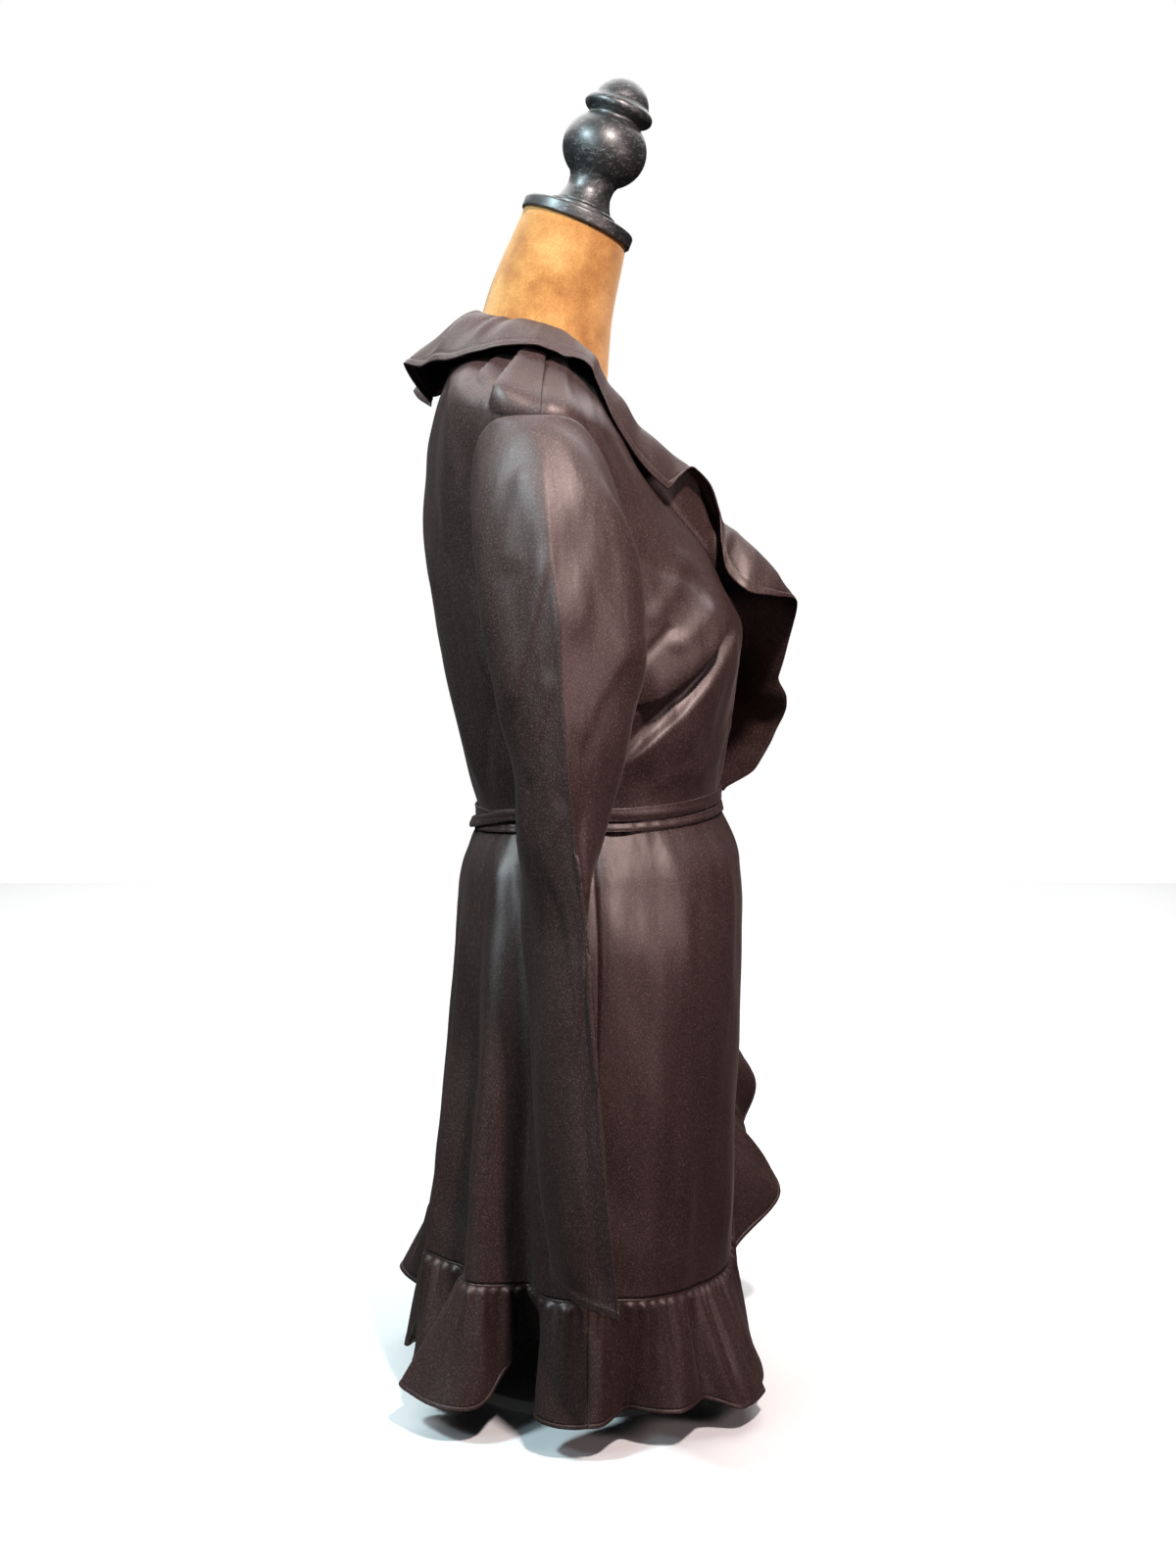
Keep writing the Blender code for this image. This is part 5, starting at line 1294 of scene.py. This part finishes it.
# Camera of the photograph: level with the ribs, at the wearer's right side
CAMERA_PLACE = (-1.58, 0.0, 0.630)
CAMERA_DOWN = radians(4.84)
CAMERA_LENS = 43.56

# Studio: half the floor's width, a dim even surround that lights the pieces, and the white
# backdrop that the camera sees in its place
FLOOR_HALF = 3.0
SURROUND_LIGHT = 0.02
BACKDROP_LIGHT = 1.0
LAMP_TARGET = (-0.05, 0.0, 0.62)


def make_camera():
    """Camera that looks along +X, tipped down a little."""
    data = bpy.data.cameras.new("camera")
    data.lens = CAMERA_LENS
    data.sensor_width = 36.0
    camera = add_object("camera", data)
    camera.location = CAMERA_PLACE
    camera.rotation_euler = (0.5 * pi - CAMERA_DOWN, 0.0, -0.5 * pi)
    bpy.context.scene.camera = camera


def soft_light(name, place, size, power, colour=(1.0, 1.0, 1.0), target=LAMP_TARGET):
    """Square soft box that faces a point."""
    data = bpy.data.lights.new(name, "AREA")
    data.size = size
    data.energy = power
    data.color = colour
    light = add_object(name, data)
    light.location = place
    light.rotation_euler = (Vector(target) - Vector(place)).to_track_quat("-Z", "Y").to_euler()


def make_studio():
    """Pale floor, dim surround, white backdrop and soft boxes."""
    mesh = bpy.data.meshes.new("floor")
    corners = [(x * FLOOR_HALF, y * FLOOR_HALF, 0) for x, y in ((-1, -1), (1, -1), (1, 1), (-1, 1))]
    mesh.from_pydata(corners, [], [(0, 1, 2, 3)])
    mesh.materials.append(floor_finish().material)
    floor = add_object("floor", mesh)
    floor.visible_diffuse = False
    floor.visible_glossy = False
    world = bpy.data.worlds.new("studio")
    world.use_nodes = True
    tree = world.node_tree
    surround = tree.nodes["Background"]
    surround.inputs["Color"].default_value = (0.95, 0.97, 1.0, 1.0)
    surround.inputs["Strength"].default_value = SURROUND_LIGHT
    backdrop = tree.nodes.new("ShaderNodeBackground")
    backdrop.inputs["Color"].default_value = (1.0, 1.0, 1.0, 1.0)
    backdrop.inputs["Strength"].default_value = BACKDROP_LIGHT
    path = tree.nodes.new("ShaderNodeLightPath")
    mix = tree.nodes.new("ShaderNodeMixShader")
    tree.links.new(path.outputs["Is Camera Ray"], mix.inputs[0])
    tree.links.new(surround.outputs[0], mix.inputs[1])
    tree.links.new(backdrop.outputs[0], mix.inputs[2])
    tree.links.new(mix.outputs[0], tree.nodes["World Output"].inputs["Surface"])
    bpy.context.scene.world = world
    soft_light("key light", (-1.00, -0.34, 1.58), 0.10, 27.0, (1.0, 0.86, 0.83))
    soft_light("back light", (-0.75, 0.95, 1.65), 0.20, 24.0, (0.70, 0.93, 1.0))
    soft_light("side light", (-1.05, 0.75, 1.10), 0.20, 3.5, (0.68, 0.90, 1.0), (-0.05, 0.0, 0.72))
    soft_light("front fill", (-0.90, -0.95, 0.75), 0.30, 3.4, (1.0, 0.76, 0.78))
    soft_light("floor light", (2.3, 0.0, 2.8), 4.4, 170.0, target=(2.3, 0.0, 0.0))
    bpy.context.scene.view_settings.view_transform = "Standard"


satin = satin_finish()
suede = suede_finish()
wood = painted_wood_finish()
steel = painted_steel_finish()

make_form(suede)
make_finial(wood)
make_stand(steel)
make_bodice_back(satin)
make_bodice_fronts(satin)
make_skirt(satin)
make_sleeves(satin)
for skirt_panel in SKIRT_COLUMNS:
    make_hem_ruffle(skirt_panel, satin)
make_neck_ruffles(satin)
make_belt(satin)

# Cut of each piece of cloth: width, length and area of the pattern piece, and what it rests on
Cut = namedtuple("Cut", "piece width length area held rests_on")
CUTS = table(
    Cut,
    ("back_bodice", 0.44, 0.40, 0.150, "draped", "torso"),
    ("right_front_bodice", 0.30, 0.42, 0.076, "draped", "torso"),
    ("left_front_bodice", 0.30, 0.42, 0.072, "draped", "torso"),
    ("back_skirt", 0.52, 0.36, 0.168, "hung", "torso"),
    ("right_front_skirt", 0.42, 0.37, 0.123, "hung", "torso"),
    ("left_front_skirt", 0.40, 0.37, 0.120, "hung", "torso"),
    ("right_sleeve", 0.33, 0.64, 0.148, "hung", "back_bodice"),
    ("left_sleeve", 0.33, 0.64, 0.148, "hung", "back_bodice"),
    ("back_hem_ruffle", 0.74, 0.100, 0.074, "gathered", "back_skirt"),
    ("right_hem_ruffle", 0.86, 0.078, 0.067, "gathered", "right_front_skirt"),
    ("left_hem_ruffle", 0.30, 0.095, 0.0285, "gathered", "left_front_skirt"),
    ("right_neck_ruffle", 0.66, 0.085, 0.056, "gathered", "right_front_bodice"),
    ("left_neck_ruffle", 0.46, 0.080, 0.0368, "gathered", "left_front_bodice"),
    ("belt_upper", 0.0115, 0.700, 0.00805, "draped", "back_bodice"),
    ("belt_lower", 0.0100, 0.700, 0.00504, "folded", "back_skirt"),
    ("belt_crossing", 0.0100, 0.330, 0.00274, "folded", "belt_upper"),
    ("belt_tail_front", 0.0165, 0.178, 0.00293, "hung", "belt_bow"),
    ("belt_tail_back", 0.0165, 0.152, 0.00250, "hung", "belt_bow"),
)

make_camera()
make_studio()
